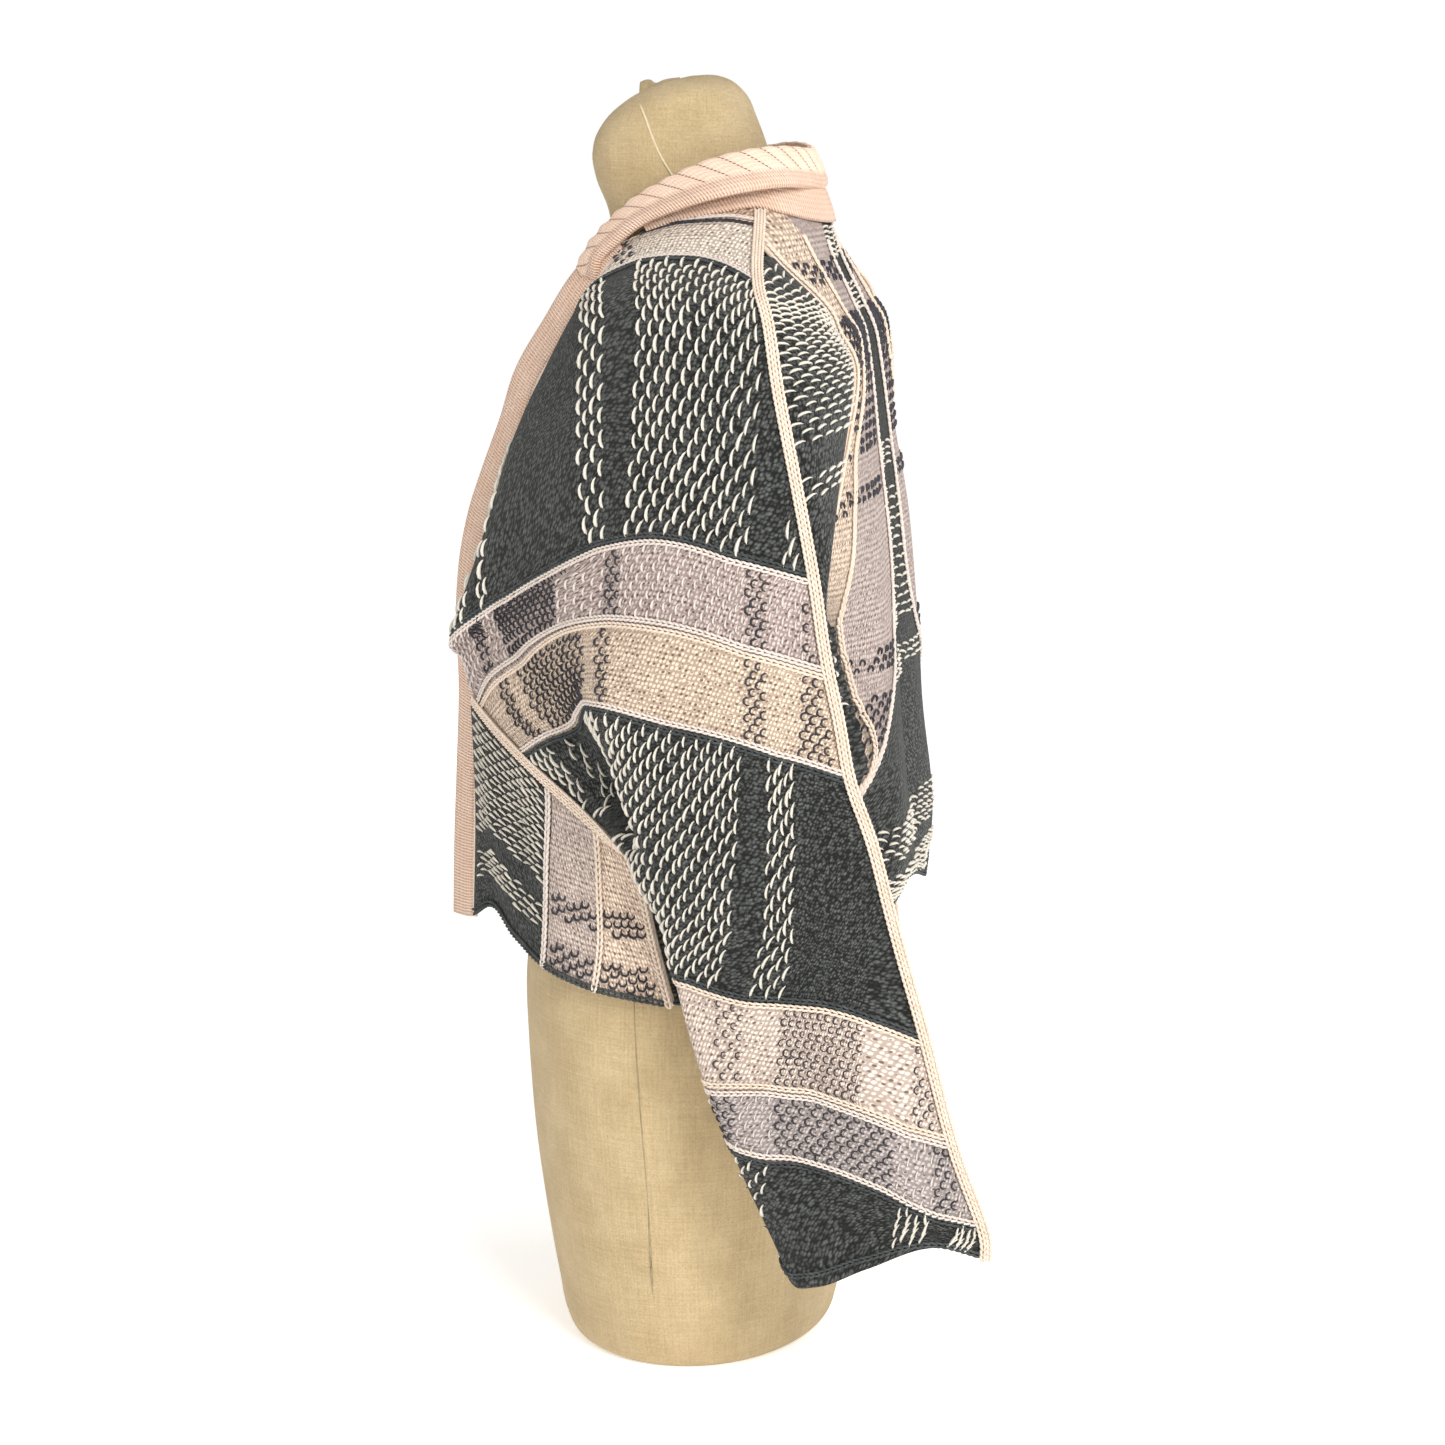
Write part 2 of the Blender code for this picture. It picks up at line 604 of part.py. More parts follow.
def make_seam(name, line, material, cut_start=0.0, cut_end=0.0):
    """A raised seam: a round cord of knit along a seam line, cut short at its ends."""
    along = lengths_along(line)
    last = along[-1] - cut_end
    places = [cut_start, *along[(along > cut_start + FINE_STEP) & (along < last - FINE_STEP)], last]
    points = np.stack([np.interp(places, along, line[:, axis]) for axis in range(3)], axis=1)
    curve = bpy.data.curves.new(name, "CURVE")
    curve.dimensions = "3D"
    curve.bevel_depth = SEAM_RADIUS * MM
    curve.bevel_resolution = 1
    curve.use_fill_caps = True
    spline = curve.splines.new("POLY")
    spline.points.add(len(points) - 1)
    for spot, point in zip(spline.points, points):
        spot.co = (*(point * MM), 1.0)
    curve.materials.append(material)
    obj = bpy.data.objects.new(name, curve)
    bpy.data.collections[OBJECT_NAME].objects.link(obj)


def main():
    """Build the form, then the garment's pieces on it."""
    clear_scene()
    bpy.context.scene.collection.children.link(bpy.data.collections.new(OBJECT_NAME))
    make_dress_form(make_material("tan_linen", TAN_LINEN, 0.9))
    seams = left_seams()
    upper, sleeve, lower = front_upper_grid(seams), sleeve_back_grid(seams), front_lower_grid(seams)
    back_half = back_grid(seams)
    seam_cuts = {
        "overarm_seam": (6.0, 0.0),
        "front_seam": (8.0, 0.0),
        "back_seam": (8.0, 2 * SEAM_RADIUS + SEAM_END_GAP),
        "underarm_seam": (2 * SEAM_RADIUS + SEAM_END_GAP, 0.0),
        "side_seam": (2 * SEAM_RADIUS + SEAM_END_GAP, 0.0),
    }
    for side, right in (("left", False), ("right", True)):
        knit = make_material(f"plaid_knit_{side}", DARK_KNIT, 0.95)
        rib = make_material(f"pink_rib_{side}", PEACH_RIB, 0.95)
        chain = make_material(f"pink_seam_{side}", PINK_KNIT, 0.95)

        def placed(points, sleeve_piece=False):
            return right_side(points, sleeve_piece) if right else points

        cloth_panel(f"front_upper_{side}", placed(upper, True), knit, right)
        cloth_panel(f"sleeve_back_{side}", placed(sleeve, True), knit, right)
        cloth_panel(f"front_lower_{side}", placed(lower), knit, right)
        name = f"front_band_{side}"
        link(name, ring_mesh(name, placed(front_band_rings())), rib)
        for seam, cuts in seam_cuts.items():
            on_sleeve = seam in ("overarm_seam", "underarm_seam")
            make_seam(f"{seam}_{side}", placed(seams[seam], on_sleeve), chain, *cuts)
    back = np.concatenate([right_side(back_half)[:, :0:-1], back_half], axis=1)
    cloth_panel("back", back, make_material("plaid_knit_back", DARK_KNIT, 0.95), turned=True)
    make_collar(make_material("pink_rib_collar", PEACH_RIB, 0.95), upper[0], back_half[0])


main()
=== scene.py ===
"""The looks of the cardigan on its dress form: knitted plaid, ribs, seams and linen.

Frame: as in the model, +Z up, the wearer's front is -Y and the wearer's left is +X. The tables are in
millimetres. Each cloth surface starts from the one that the solids were made from, is drawn finer and
is creased. Behind the form it is drawn in a little.
"""

import math

import bpy
import numpy as np
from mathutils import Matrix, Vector

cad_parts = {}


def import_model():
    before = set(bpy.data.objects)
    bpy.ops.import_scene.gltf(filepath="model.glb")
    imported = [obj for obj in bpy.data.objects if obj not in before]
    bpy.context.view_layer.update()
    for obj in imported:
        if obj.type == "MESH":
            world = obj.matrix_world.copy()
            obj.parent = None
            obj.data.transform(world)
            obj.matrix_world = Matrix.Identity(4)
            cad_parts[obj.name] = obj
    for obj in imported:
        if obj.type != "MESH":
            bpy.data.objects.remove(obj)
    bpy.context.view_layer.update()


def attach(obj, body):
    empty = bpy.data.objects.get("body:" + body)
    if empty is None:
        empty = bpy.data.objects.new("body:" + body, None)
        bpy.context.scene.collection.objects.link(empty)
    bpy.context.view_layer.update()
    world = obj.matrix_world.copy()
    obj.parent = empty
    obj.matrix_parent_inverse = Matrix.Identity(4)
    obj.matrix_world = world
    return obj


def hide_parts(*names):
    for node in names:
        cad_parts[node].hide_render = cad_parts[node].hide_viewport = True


MM = 0.001
TINY = 1e-9
KNIT_WALL, STAND_WALL, FLAP_WALL = 2.2, 2.4, 1.0
BAND_THICK = 7.5
FALL_THICK_AT_NECK, FALL_THICK_AT_FOLD = 6.5, 9.0
# The collar's broad ribs: how far apart, how high, and how far each slants across the fall.
RIB_PITCH, RIB_HEIGHT, RIB_SLANT = 15.0, 1.3, 14.0
# The clear space that a panel leaves beside a seam, and beside the front band.
SEAM_CLEAR, BAND_CLEAR = 3.2, 2.4
# How finely lines and cloth are drawn: points along a line, the distance between points of a seam
# and between rows of cloth, and the points across each panel.
FINE_ROW, FINE_STEP, CLOTH_STEP = 220, 1.5, 3.5
UPPER_ACROSS, SLEEVE_ACROSS, LOWER_ACROSS, BACK_HALF_ACROSS = 92, 46, 44, 56
# Rows of the front lower panel before and after its top is cut, and rounds to find a place on a grid.
LOWER_ROWS_BEFORE, LOWER_ROWS_AFTER, PLACE_ROUNDS = 90, 46, 12
# Points along the side seam, the band's edge, a crease, a chain across and a line on the form.
SIDE_SEAM_POINTS, BAND_EDGE_POINTS, CREASE_POINTS, CHAIN_POINTS, FORM_LINE_POINTS = 28, 80, 40, 160, 120
# Points along and round the band, the collar, the form and the flap.
BAND_STATIONS, BAND_AROUND = 190, 28
FALL_STATIONS, STAND_STATIONS, STAND_RISES = 260, 200, 14
FORM_RINGS, FORM_AROUND = 150, 96
FLAP_ALONG, FLAP_ACROSS = 24, 15

# The front upper panel: a row for each line across it, at its distance down the cloth from the
# collar. The columns are its front edge, chest, valley, fold, side, rear and the overarm seam.
FRONT_UPPER = {
    0: ((66, -40, 730), (69, -27, 736), (71, -15, 740), (73, -3, 744), (74, 12, 747), (70, 30, 751),
         (62, 47, 753)),
    70: ((56, -64, 696), (80, -50, 711), (105, -30, 717), (122, -8, 720), (136, 20, 720), (149, 46, 715),
         (160, 68, 708)),
    118: ((50, -84, 664), (84, -72, 680), (124, -45, 692), (154, -14, 699), (177, 20, 700), (185, 52, 696),
         (181, 78, 688)),
    172: ((45, -111, 612), (80, -99, 624), (120, -66, 636), (157, -32, 642), (190, 18, 646), (200, 58, 647),
         (191, 87, 644)),
    214: ((43, -131, 562), (84, -115, 578), (131, -78, 596), (171, -38, 604), (204, 20, 606),
         (212, 64, 601), (200, 99, 592)),
    260: ((46, -146, 478), (63, -155, 474), (104, -114, 510), (168, -45, 546), (211, 18, 562),
         (221, 68, 554), (209, 111, 538)),
    313: ((47, -149, 433), (73, -136, 458), (112, -99, 482), (168, -48, 505), (214, 20, 512),
         (224, 75, 503), (212, 120, 486)),
    342: ((75, -129, 419), (98, -113, 431), (134, -77, 452), (177, -48, 477), (217, 18, 482),
         (226, 78, 474), (213, 127, 455)),
    375: ((108, -101, 404), (126, -84, 411), (157, -43, 427), (191, -40, 450), (219, 14, 449),
         (228, 90, 440), (216, 134, 420)),
    420: ((142, -59, 380), (153, -42, 385), (165, -7, 392), (200, -22, 413), (222, 24, 405),
         (229, 102, 395), (217, 145, 382)),
    470: ((170, -12, 350), (177, -15, 352), (188, -12, 354), (204, 2, 351), (225, 40, 347), (231, 112, 340),
         (217, 154, 334)),
    538: ((190, 52, 304), (190, 38, 303), (193, 24, 300), (205, 17, 294), (224, 62, 281), (232, 138, 275),
         (219, 175, 260)),
    595: ((192, 64, 238), (192, 50, 237), (196, 38, 234), (206, 35, 229), (225, 88, 222), (233, 158, 211),
         (220, 194, 190)),
    645: ((193, 68, 178), (195, 59, 177), (200, 54, 176), (208, 57, 174), (225, 102, 173), (232, 172, 156),
         (220, 212, 142)),
    705: ((196, 87, 103), (201, 88, 98), (207, 94, 92), (215, 108, 95), (227, 142, 113), (231, 186, 131),
         (219, 214, 121)),
}

# The sleeve back panel, on the same distances. The columns are the overarm seam, rear, middle, inner
# and the edge at the back armhole seam or, below the underarm point, at the underarm seam.
SLEEVE_BACK = {
    38: ((114, 58, 732), (115, 59, 732), (115, 60, 732), (116, 61, 732), (116, 62, 732)),
    70: ((160, 68, 708), (150, 80, 706), (138, 89, 704), (124, 95, 701), (108, 97, 699)),
    118: ((181, 78, 688), (169, 93, 686), (149, 104, 684), (124, 109, 680), (98, 109, 676)),
    172: ((191, 87, 644), (180, 101, 646), (157, 113, 648), (124, 120, 650), (90, 119, 648)),
    214: ((200, 99, 592), (192, 109, 595), (174, 116, 598), (150, 119, 600), (122, 116, 602)),
    260: ((209, 111, 538), (206, 117, 539), (200, 120, 542), (191, 119, 547), (181, 113, 553)),
    313: ((212, 120, 486), (208, 124, 484), (200, 118, 482), (188, 106, 482), (175, 94, 488)),
    375: ((216, 134, 420), (206, 130, 420), (197, 108, 422), (187, 88, 425), (171, 72, 430)),
    420: ((217, 145, 382), (206, 139, 382), (197, 104, 384), (187, 66, 388), (172, 35, 392)),
    470: ((217, 154, 334), (205, 146, 336), (197, 92, 344), (186, 34, 350), (170, -12, 350)),
    538: ((219, 175, 260), (206, 170, 263), (197, 118, 284), (192, 78, 297), (190, 52, 304)),
    595: ((220, 194, 190), (207, 189, 193), (198, 134, 218), (193, 92, 232), (192, 64, 238)),
    645: ((220, 212, 142), (207, 208, 144), (198, 150, 163), (193, 98, 176), (193, 68, 178)),
    705: ((219, 214, 121), (206, 211, 123), (198, 156, 119), (192, 110, 108), (196, 87, 103)),
}

# The back panel's left half: a row for each level, from the centre line outwards. The first value
# says where on its side seams the row ends: on the shoulder to 38, then down the back armhole seam
# to the underarm point at 470, then down the side seam to the hem.
BACK = (
    (0, (0, 83, 742), (18, 80, 743), (34, 74, 745), (47, 66, 747), (56, 57, 750)),
    (30, (0, 88, 721), (26, 87, 724), (50, 84, 727), (70, 79, 730), (88, 71, 733)),
    (76, (0, 101, 690), (26, 103, 691), (50, 104, 692), (70, 104, 693), (90, 101, 695)),
    (172, (0, 112, 648), (22, 115, 648), (42, 118, 648), (60, 120, 648), (76, 120, 648)),
    (205, (0, 118, 605), (26, 121, 605), (50, 124, 605), (73, 124, 605), (94, 121, 605)),
    (235, (0, 121, 578), (36, 126, 578), (72, 129, 578), (104, 127, 578), (132, 121, 578)),
    (262, (0, 124, 545), (40, 131, 545), (80, 134, 546), (118, 131, 548), (150, 123, 550)),
    (313, (0, 128, 484), (42, 137, 482), (84, 140, 482), (120, 133, 484), (150, 115, 486)),
    (375, (0, 133, 427), (42, 141, 426), (84, 143, 426), (118, 133, 427), (146, 108, 428)),
    (420, (0, 137, 390), (44, 143, 389), (86, 142, 388), (121, 124, 388), (149, 86, 390)),
    (470, (0, 142, 350), (46, 145, 347), (92, 139, 344), (131, 110, 344), (158, 56, 346)),
    (520, (0, 146, 328), (47, 145, 324), (94, 137, 320), (133, 106, 313), (161, 52, 306)),
    (570, (0, 149, 310), (49, 144, 322), (95, 136, 312), (134, 104, 292), (162, 56, 272)),
)
SHOULDER_ENDS, FRONT_SEAM_AT, UNDERARM_AT, HEM_AT, CUFF_AT = 38, 313, 470, 570, 705
SLEEVE_STARTS, LOWER_REACH, BACK_REACH = 46, 150, 455

# The side seam, from the underarm point to the hem.
SIDE_SEAM = ((170, -12, 350), (174, -2, 306), (176, 10, 260))

# The front lower panel: a row for each level, from the front band to the side seam. Its first row
# is the diagonal front seam. The columns are its edge, tuck, dark, lilac, pink and the side seam.
FRONT_LOWER = {
    0: ((47, -149, 433), (75, -129, 419), (108, -101, 404), (130, -75, 389), (154, -40, 369),
         (170, -12, 350)),
    78: ((45, -147, 355), (62, -136, 350), (100, -110, 345), (128, -85, 342), (157, -45, 326),
         (174, -2, 306)),
    150: ((45, -149, 280), (60, -134, 291), (100, -107, 280), (129, -84, 271), (160, -44, 264),
         (176, 10, 260)),
}

# The front band's inner and outer edges, from the collar to the hem, and how it goes on under the collar.
FRONT_BAND = (
    ((33, -79, 708), (57, -60, 701)), ((26, -101, 676), (50, -81, 669)), ((20, -121, 644), (45, -102, 637)),
    ((15, -134, 608), (42, -114, 604)), ((13, -145, 580), (41, -125, 577)),
    ((12, -156, 548), (41, -136, 546)), ((12, -162, 520), (41, -142, 519)),
    ((12, -165, 488), (41, -146, 488)), ((12, -164, 427), (41, -145, 427)),
    ((12, -166, 379), (41, -147, 381)), ((12, -169, 316), (41, -149, 319)),
    ((12, -170, 274), (41, -150, 278)),
)
BAND_UNDER_COLLAR = (((48, -50, 736), (71, -40, 725)), ((39, -65, 721.5), (63, -53, 712.5)))
# The length that its rib covers round it, and how round its section is across and up.
BAND_GIRTH, BAND_ROUND = 66, (0.72, 0.8)
# The linking seam along its outer edge.
JOIN_SUNK, JOIN_CORD = 1.0, 1.8

# The collar, from the front band to the centre back: the fall's upper edge by the neck, and the
# fold along its outer edge. The last rows of the fold move by the amounts in the second table.
COLLAR = (
    ((34.0, -76.8, 711.5), (58.0, -58.4, 704.3)), ((42, -66, 726.4), (66, -56, 716.6)),
    ((52, -51, 742), (75, -44, 728.3)), ((59, -33, 757), (82, -27, 741)), ((63, -12, 769), (91, -1, 753)),
    ((64, 12, 780), (95, 24, 761)), ((56, 37, 787), (88, 48, 766)), ((38, 54, 789), (68, 68, 768)),
    ((19, 64, 788), (35, 80, 766)), ((0, 67, 787), (0, 84, 763)),
)
FALL_NEARER = ((-1, -1, -1.5), (-2, -3, -2.5), (-2, -6, -3), (-1, -7, -3), (0, -7, -3), (0, -7, -3))
FALL_TOP_SHARES = (0.0, 0.03, 0.1, 0.2, 0.3, 0.4, 0.5, 0.6, 0.7, 0.8, 0.88, 0.95, 0.99)
FALL_UNDER_SHARES = (0.99, 0.95, 0.88, 0.75, 0.6, 0.45, 0.3, 0.18, 0.08, 0.02)
RIBS_FROM, RIBS_TO = 0.06, 0.72
# The stand: its first row of the collar, how far it is inside and under the fall's edge, and the
# points of the front upper's and the back's top rows that it stands on.
STAND_FROM, STAND_INSIDE, STAND_UNDER = 3, 7.5, 5.5
STAND_ON_FRONT, STAND_ON_BACK = [18, 34, 50, 66, 91], [-9, -25, -41, 0]
# How much lower than them it starts, as a share of its height, and how far it bulges and sits out.
STAND_BELOW, STAND_BULGE, STAND_OUT = 0.07, 3.2, 0.5

# How far forwards the right side lies, from the hem up: a height and a distance in each row. It grows
# from nothing near the front band to the whole at the arm. The body follows only down to the underarm.
ARM_FORWARD = (
    (60, 96), (120, 93), (200, 87), (255, 78), (300, 56), (350, 42), (420, 31), (490, 24), (560, 19),
    (700, 14),
)
ARM_FORWARD_SPAN = (60, 190)
UNDERARM_HEIGHT = 350

# The dress form, from its underside to the top of its neck: the height of each section, half its
# width, its front and back, and how far its front dips, in degrees.
FORM = (
    (0, 119, -85, 82, 0), (3, 124, -89, 86, 0), (12, 129, -93, 89, 0), (34, 135, -97, 93, 0),
    (70, 143, -103, 99, 0), (140, 155, -112, 106, 0), (200, 160, -116, 110, 0), (245, 160, -117, 109, 0),
    (300, 153, -110, 100, 0), (350, 141, -101, 88, 0), (390, 134, -97, 81, 0), (440, 139, -105, 84, 0),
    (490, 143, -121, 90, 0), (525, 147, -129, 96, 0), (560, 151, -121, 101, 0), (600, 156, -104, 103, 0),
    (640, 161, -86, 101, 0), (668, 163, -71, 92, 0), (686, 158.4, -62, 80, 0), (699.4, 143.3, -56, 70, 0),
    (710.4, 119.3, -53, 64, 0), (722, 92, -56, 59, 0), (735, 68, -59, 55, -1), (752, 54, -63, 50, -3),
    (775, 50, -71, 43, -8), (795, 49, -74, 35, -12), (808, 46, -71, 29, -14), (817, 43, -64, 21, -15),
    (825, 33, -50, 9, -15), (829, 17, -34, -7, -15),
)
FORM_SQUARENESS = 2.05
# The form's seam lines, as (height, angle from the left side towards the back), with radius and yarn.
FORM_LINES = (
    ("side_line", ((1, -5.0), (66, -4.2), (124, -3.8), (192, -5.4), (252, -6.5), (330, -6.5), (420, -6.0)),
     0.6, "linen_seam_shadow"),
    ("neck_line", ((822, -28), (815, -15), (808, -10), (800, -7), (784, -3), (768, 2), (752, 6), (736, 9)),
     0.75, "linen_seam"),
)
LINE_OUT = 0.1
# The flap on the neck: how far back, its lower edge and its height in each row, and half its width.
FLAP_PROFILE = (
    (-39.5, 818.0, 10.5), (-36, 820.0, 9.8), (-33, 821.8, 8.0), (-30, 823.4, 4.8), (-24, 825.8, 4.2),
    (-14, 828.6, 2.8),
)
FLAP_HALVES = (5.0, 5.2, 5.6, 6.0, 6.0, 5.0)
FLAP_CENTRE, FLAP_ROUND, FLAP_RIPPLE = 12, 2.6, 0.25

# Where colours change on the front upper panel, in millimetres down the cloth, with the colour below.
UPPER_BANDS = (
    (0, "peach"), (28, "pale"), (70, "dark"), (260, "lilac"), (313, "pink"), (375, "dark"),
    (538, "cool pink"), (595, "cool lilac"), (645, "dark"),
)
# Where the band edges run on the front upper panel: share across it, then the distance down of each.
UPPER_LINES = (28, 70, 260, 313, 375, 538, 595, 645)
LINE_PLACES = (
    (0.00, -5, 98, 262, 328, 375, 538, 603, 637), (0.14, 0, 90, 264, 326, 367, 545, 603, 637),
    (0.28, 2, 79, 270, 322, 364, 538, 598, 641), (0.42, 4, 65, 266, 319, 373, 538, 594, 640),
    (0.56, 6, 61, 260, 317, 375, 536, 592, 639), (0.70, 8, 60, 261, 318, 378, 536, 595, 640),
    (0.85, 11, 62, 264, 321, 382, 539, 598, 648), (1.00, 15, 65, 260, 318, 377, 540, 592, 646),
)
# Where the yarn stripes change on it: distance down, then the place across of each change.
UPPER_STRIPES = (-229, -213, -201, -116, -96, -85, 0, 14, 34, 109, 127, 142)
STRIPE_PLACES = (
    (80, -262, -246, -236, -190, -140, -112, -4, 16, 38, 112, 130, 145),
    (130, -270, -255, -246, -158, -122, -96, 6, 22, 42, 112, 130, 145),
    (165, -270, -255, -246, -147, -113, -90, 13, 25, 43, 112, 130, 145),
    (205, -270, -255, -246, -134, -104, -87, 12, 28, 43, 112, 130, 145),
    (262, -270, -255, -245, -131, -107, -94, 7, 25, 41, 112, 130, 145),
    (275, -270, -256, -236, -163, -111, -97, 5, 19, 40, 112, 130, 145),
    (316, -272, -257, -236, -160, -112, -97, 6, 19, 41, 112, 130, 145),
    (326, -250, -235, -224, -125, -118, -101, 7, 20, 41, 112, 130, 145),
    (352, -232, -216, -203, -114, -106, -96, 8, 22, 42, 112, 130, 145),
    (376, -196, -184, -166, -130, -100, -90, 11, 25, 43, 112, 130, 145),
    (430, -170, -158, -150, -116, -96, -82, 16, 33, 51, 112, 130, 145),
    (490, -150, -140, -130, -104, -92, -78, 19, 36, 57, 104, 130, 145),
    (540, -150, -140, -130, -104, -92, -80, 8, 26, 50, 99, 134, 150),
    (592, -150, -140, -130, -104, -92, -80, 8, 26, 49, 103, 137, 152),
    (600, -150, -140, -130, -104, -92, -80, 8, 26, 50, 129, 154, 168),
    (640, -150, -140, -130, -104, -92, -80, 9, 28, 57, 134, 160, 175),
    (700, -150, -140, -130, -104, -92, -80, 9, 30, 60, 151, 178, 190),
)
# Place across at the overarm seam, by distance down.
YARN_AT_SEAM = (
    (0, -28), (70, -10), (260, 44), (313, 53), (375, 74), (538, 136), (595, 163), (645, 190), (705, 214),
)
# Yarn stripes across the front upper panel: where each starts, and whether its yarn is light.
UPPER_YARN = (
    (-400, 1), (-229, 0), (-213, 1), (-201, 0), (-116, 1), (-96, 0), (-85, 1), (0, 0), (14, 1), (34, 0),
    (109, 1), (127, 0), (142, 1), (157, 0), (230, 1),
)
# The floats in each band of the front upper panel: from and to, half the spacing across, the spacing
# down, their size and how thick their yarn is for that size.
FLOAT_SPACING = (
    (28, 70, 3.6, 5.6, 0.80, 1.0), (70, 260, 4.5, 8.0, 1.07, 1.0), (260, 313, 3.7, 5.9, 0.84, 1.0),
    (313, 375, 3.7, 5.9, 0.84, 1.0), (375, 538, 3.85, 6.8, 0.96, 1.0), (538, 595, 3.8, 6.2, 0.78, 0.78),
    (595, 645, 3.8, 6.2, 0.82, 0.92), (645, 705, 3.85, 6.8, 0.88, 1.0),
)
FLOAT_MARGIN, FLOATS_FROM, FLOATS_TO = 10, -420, 250
# Parts of its dark bands that have no floats: from and to down, then from and to across.
PLAIN_PARTS = ((375, 538, 60, 400), (645, 705, -400, 0))
# The chains along its lines, the one above each line and the one below it.
UPPER_CHAINS = (
    (28, "pale_chain", "dark_yarn"), (70, "pale_chain", "slate_chain"), (260, "slate_chain", "pale_chain"),
    (313, "pale_chain", "pink_chain"), (375, "pale_chain", "slate_chain"), (538, "slate_chain", "pink_chain"),
    (595, "pink_chain", "pale_chain"), (645, "pale_chain", "slate_chain"), (702, "slate_chain"),
)
CHAIN_APART, CUFF_CHAIN_AT = 2.3, 701.5
# Chains: their pitch, spread and radius. The hem's lies a little in from the last row.
FINE_CHAIN, DARK_CHAIN = (4.2, 1.15, 0.9), (4.2, 1.15, 0.65)
WIDE_CHAIN, HEM_CHAIN = (4.4, 1.5, 1.1), (4.4, 1.5, 1.0)
HEM_IN = 1.6

# The other panels' ground, by each one's band coordinate, and their yarn stripes.
SLEEVE_BANDS = ((0, "pink"), (100, "dark"))
# The lower front's pink and lilac are lighter copies of pink and lilac: painted light for a region that gets
# less light.
LOWER_BANDS = ((0, "dark"), (116, "low lilac"), (166, "low pink"))
BACK_BANDS = ((0, "dark"), (100, "lilac"), (200, "pink"), (300, "dark"))
SLEEVE_YARN = (
    (0, 1), (196, 0), (208, 1), (222, 0), (300, 1), (318, 0), (334, 1), (430, 0), (446, 1), (462, 0),
    (560, 1), (580, 0), (600, 1), (690, 0),
)
LOWER_YARN = ((-20, 0), (23, 1), (41, 0), (56, 1), (170, 0))
BACK_YARN = (
    (-80, 0), (0, 1), (18, 0), (28, 1), (52, 0), (137, 1), (152, 0), (166, 1), (256, 0), (270, 1), (288, 0),
    (372, 1), (392, 0), (406, 1),
)
# Rows of floats on them: the first row and the step to the next, the pitch across and its start, the
# space kept clear at a band's edge, which way is up in steps of the grid, and the floats' size.
SLEEVE_ROWS = {
    "first": 2.2, "step": 4.3, "pitch": 14.5, "start": 4, "clear": 4, "up": (-0.08, 0.5), "size": 0.96,
}
LOWER_ROWS = {
    "first": 2.0, "step": 4.5, "pitch": 13.0, "start": 3, "clear": 5.5, "up": (-0.10, 0.5), "size": 0.98,
}
BACK_ROWS = {
    "first": 2.0, "step": 4.2, "pitch": 14.5, "start": 3, "clear": 3, "up": (-0.05, -0.5), "size": 0.96,
}
# How wide the light strip beside the sleeve back's inner seam is, by distance down.
SLEEVE_EDGE = (
    (46, 0), (130, 0), (165, 6), (200, 11), (240, 9), (262, 0), (320, 0), (375, 34), (470, 52), (600, 60),
    (705, 60),
)
# Band edges on the back panel: height, then the edges out from the centre line.
BACK_EDGES = (
    (260, 175, 176, 177), (385, 130, 131, 132), (403, 113, 114, 116), (415, 104, 112, 120),
    (445, 84, 132, 133), (476, 54, 146, 147), (500, 40, 156, 158), (530, 32, 150, 215), (560, 30, 136, 250),
    (600, 26, 102, 250), (645, 20, 66, 250), (700, 18, 60, 250), (750, 18, 58, 250),
)
BACK_HEM_HEIGHT = 312
# How high its chains reach, and what its map says at the hem.
BACK_CHAIN_TOP, BACK_MAP_START = 740, 100
# How far the cloth behind the form is drawn in, at the centre of the back and at its sides.
CLOSER_MIDDLE, CLOSER_SIDES = 3.0, 7.0
# Where that grows: out from the centre, behind the form, up from the hem and down from the neck.
CLOSER_OUT, CLOSER_BEHIND, CLOSER_FROM, CLOSER_TO = (15, 60), (25, 85), (320, 430), (765, 715)

# Creases, as (down, across) shares from and to, with the width and depth. Each bows a little, and
# fades over the last columns of its panel.
CREASE_BOW, CREASE_FADE = 0.02, 7.0
UPPER_CREASES = (
    ((0.46, 0.30), (0.62, 0.42), 15, -3.5), ((0.34, 0.20), (0.54, 0.34), 20, 3.0),
    ((0.40, 0.10), (0.50, 0.24), 13, -3.0), ((0.50, 0.44), (0.66, 0.50), 14, 2.5),
    ((0.14, 0.30), (0.36, 0.52), 26, 2.4), ((0.12, 0.62), (0.38, 0.70), 22, -2.4),
    ((0.60, 0.62), (0.80, 0.74), 18, -2.6), ((0.68, 0.30), (0.86, 0.52), 17, 2.6),
    ((0.74, 0.60), (0.92, 0.50), 15, -2.8), ((0.84, 0.30), (0.97, 0.42), 13, -2.2),
    ((0.82, 0.72), (0.96, 0.82), 14, 2.2), ((0.20, 0.06), (0.36, 0.12), 15, 2.0),
)
SLEEVE_CREASES = (
    ((0.30, 0.20), (0.52, 0.60), 14, -2.4), ((0.52, 0.30), (0.72, 0.55), 15, 2.2),
    ((0.70, 0.20), (0.90, 0.45), 13, -2.2), ((0.12, 0.40), (0.24, 0.75), 15, 1.8),
)
BACK_CREASES = (
    ((0.40, 0.20), (0.72, 0.14), 20, -3.2), ((0.36, 0.78), (0.66, 0.86), 18, -3.0),
    ((0.56, 0.38), (0.96, 0.34), 20, 3.2), ((0.60, 0.62), (0.97, 0.66), 22, 3.0),
    ((0.66, 0.48), (0.98, 0.50), 18, -3.2), ((0.20, 0.40), (0.40, 0.46), 22, 2.0),
    ((0.70, 0.82), (0.97, 0.80), 15, 2.4),
)
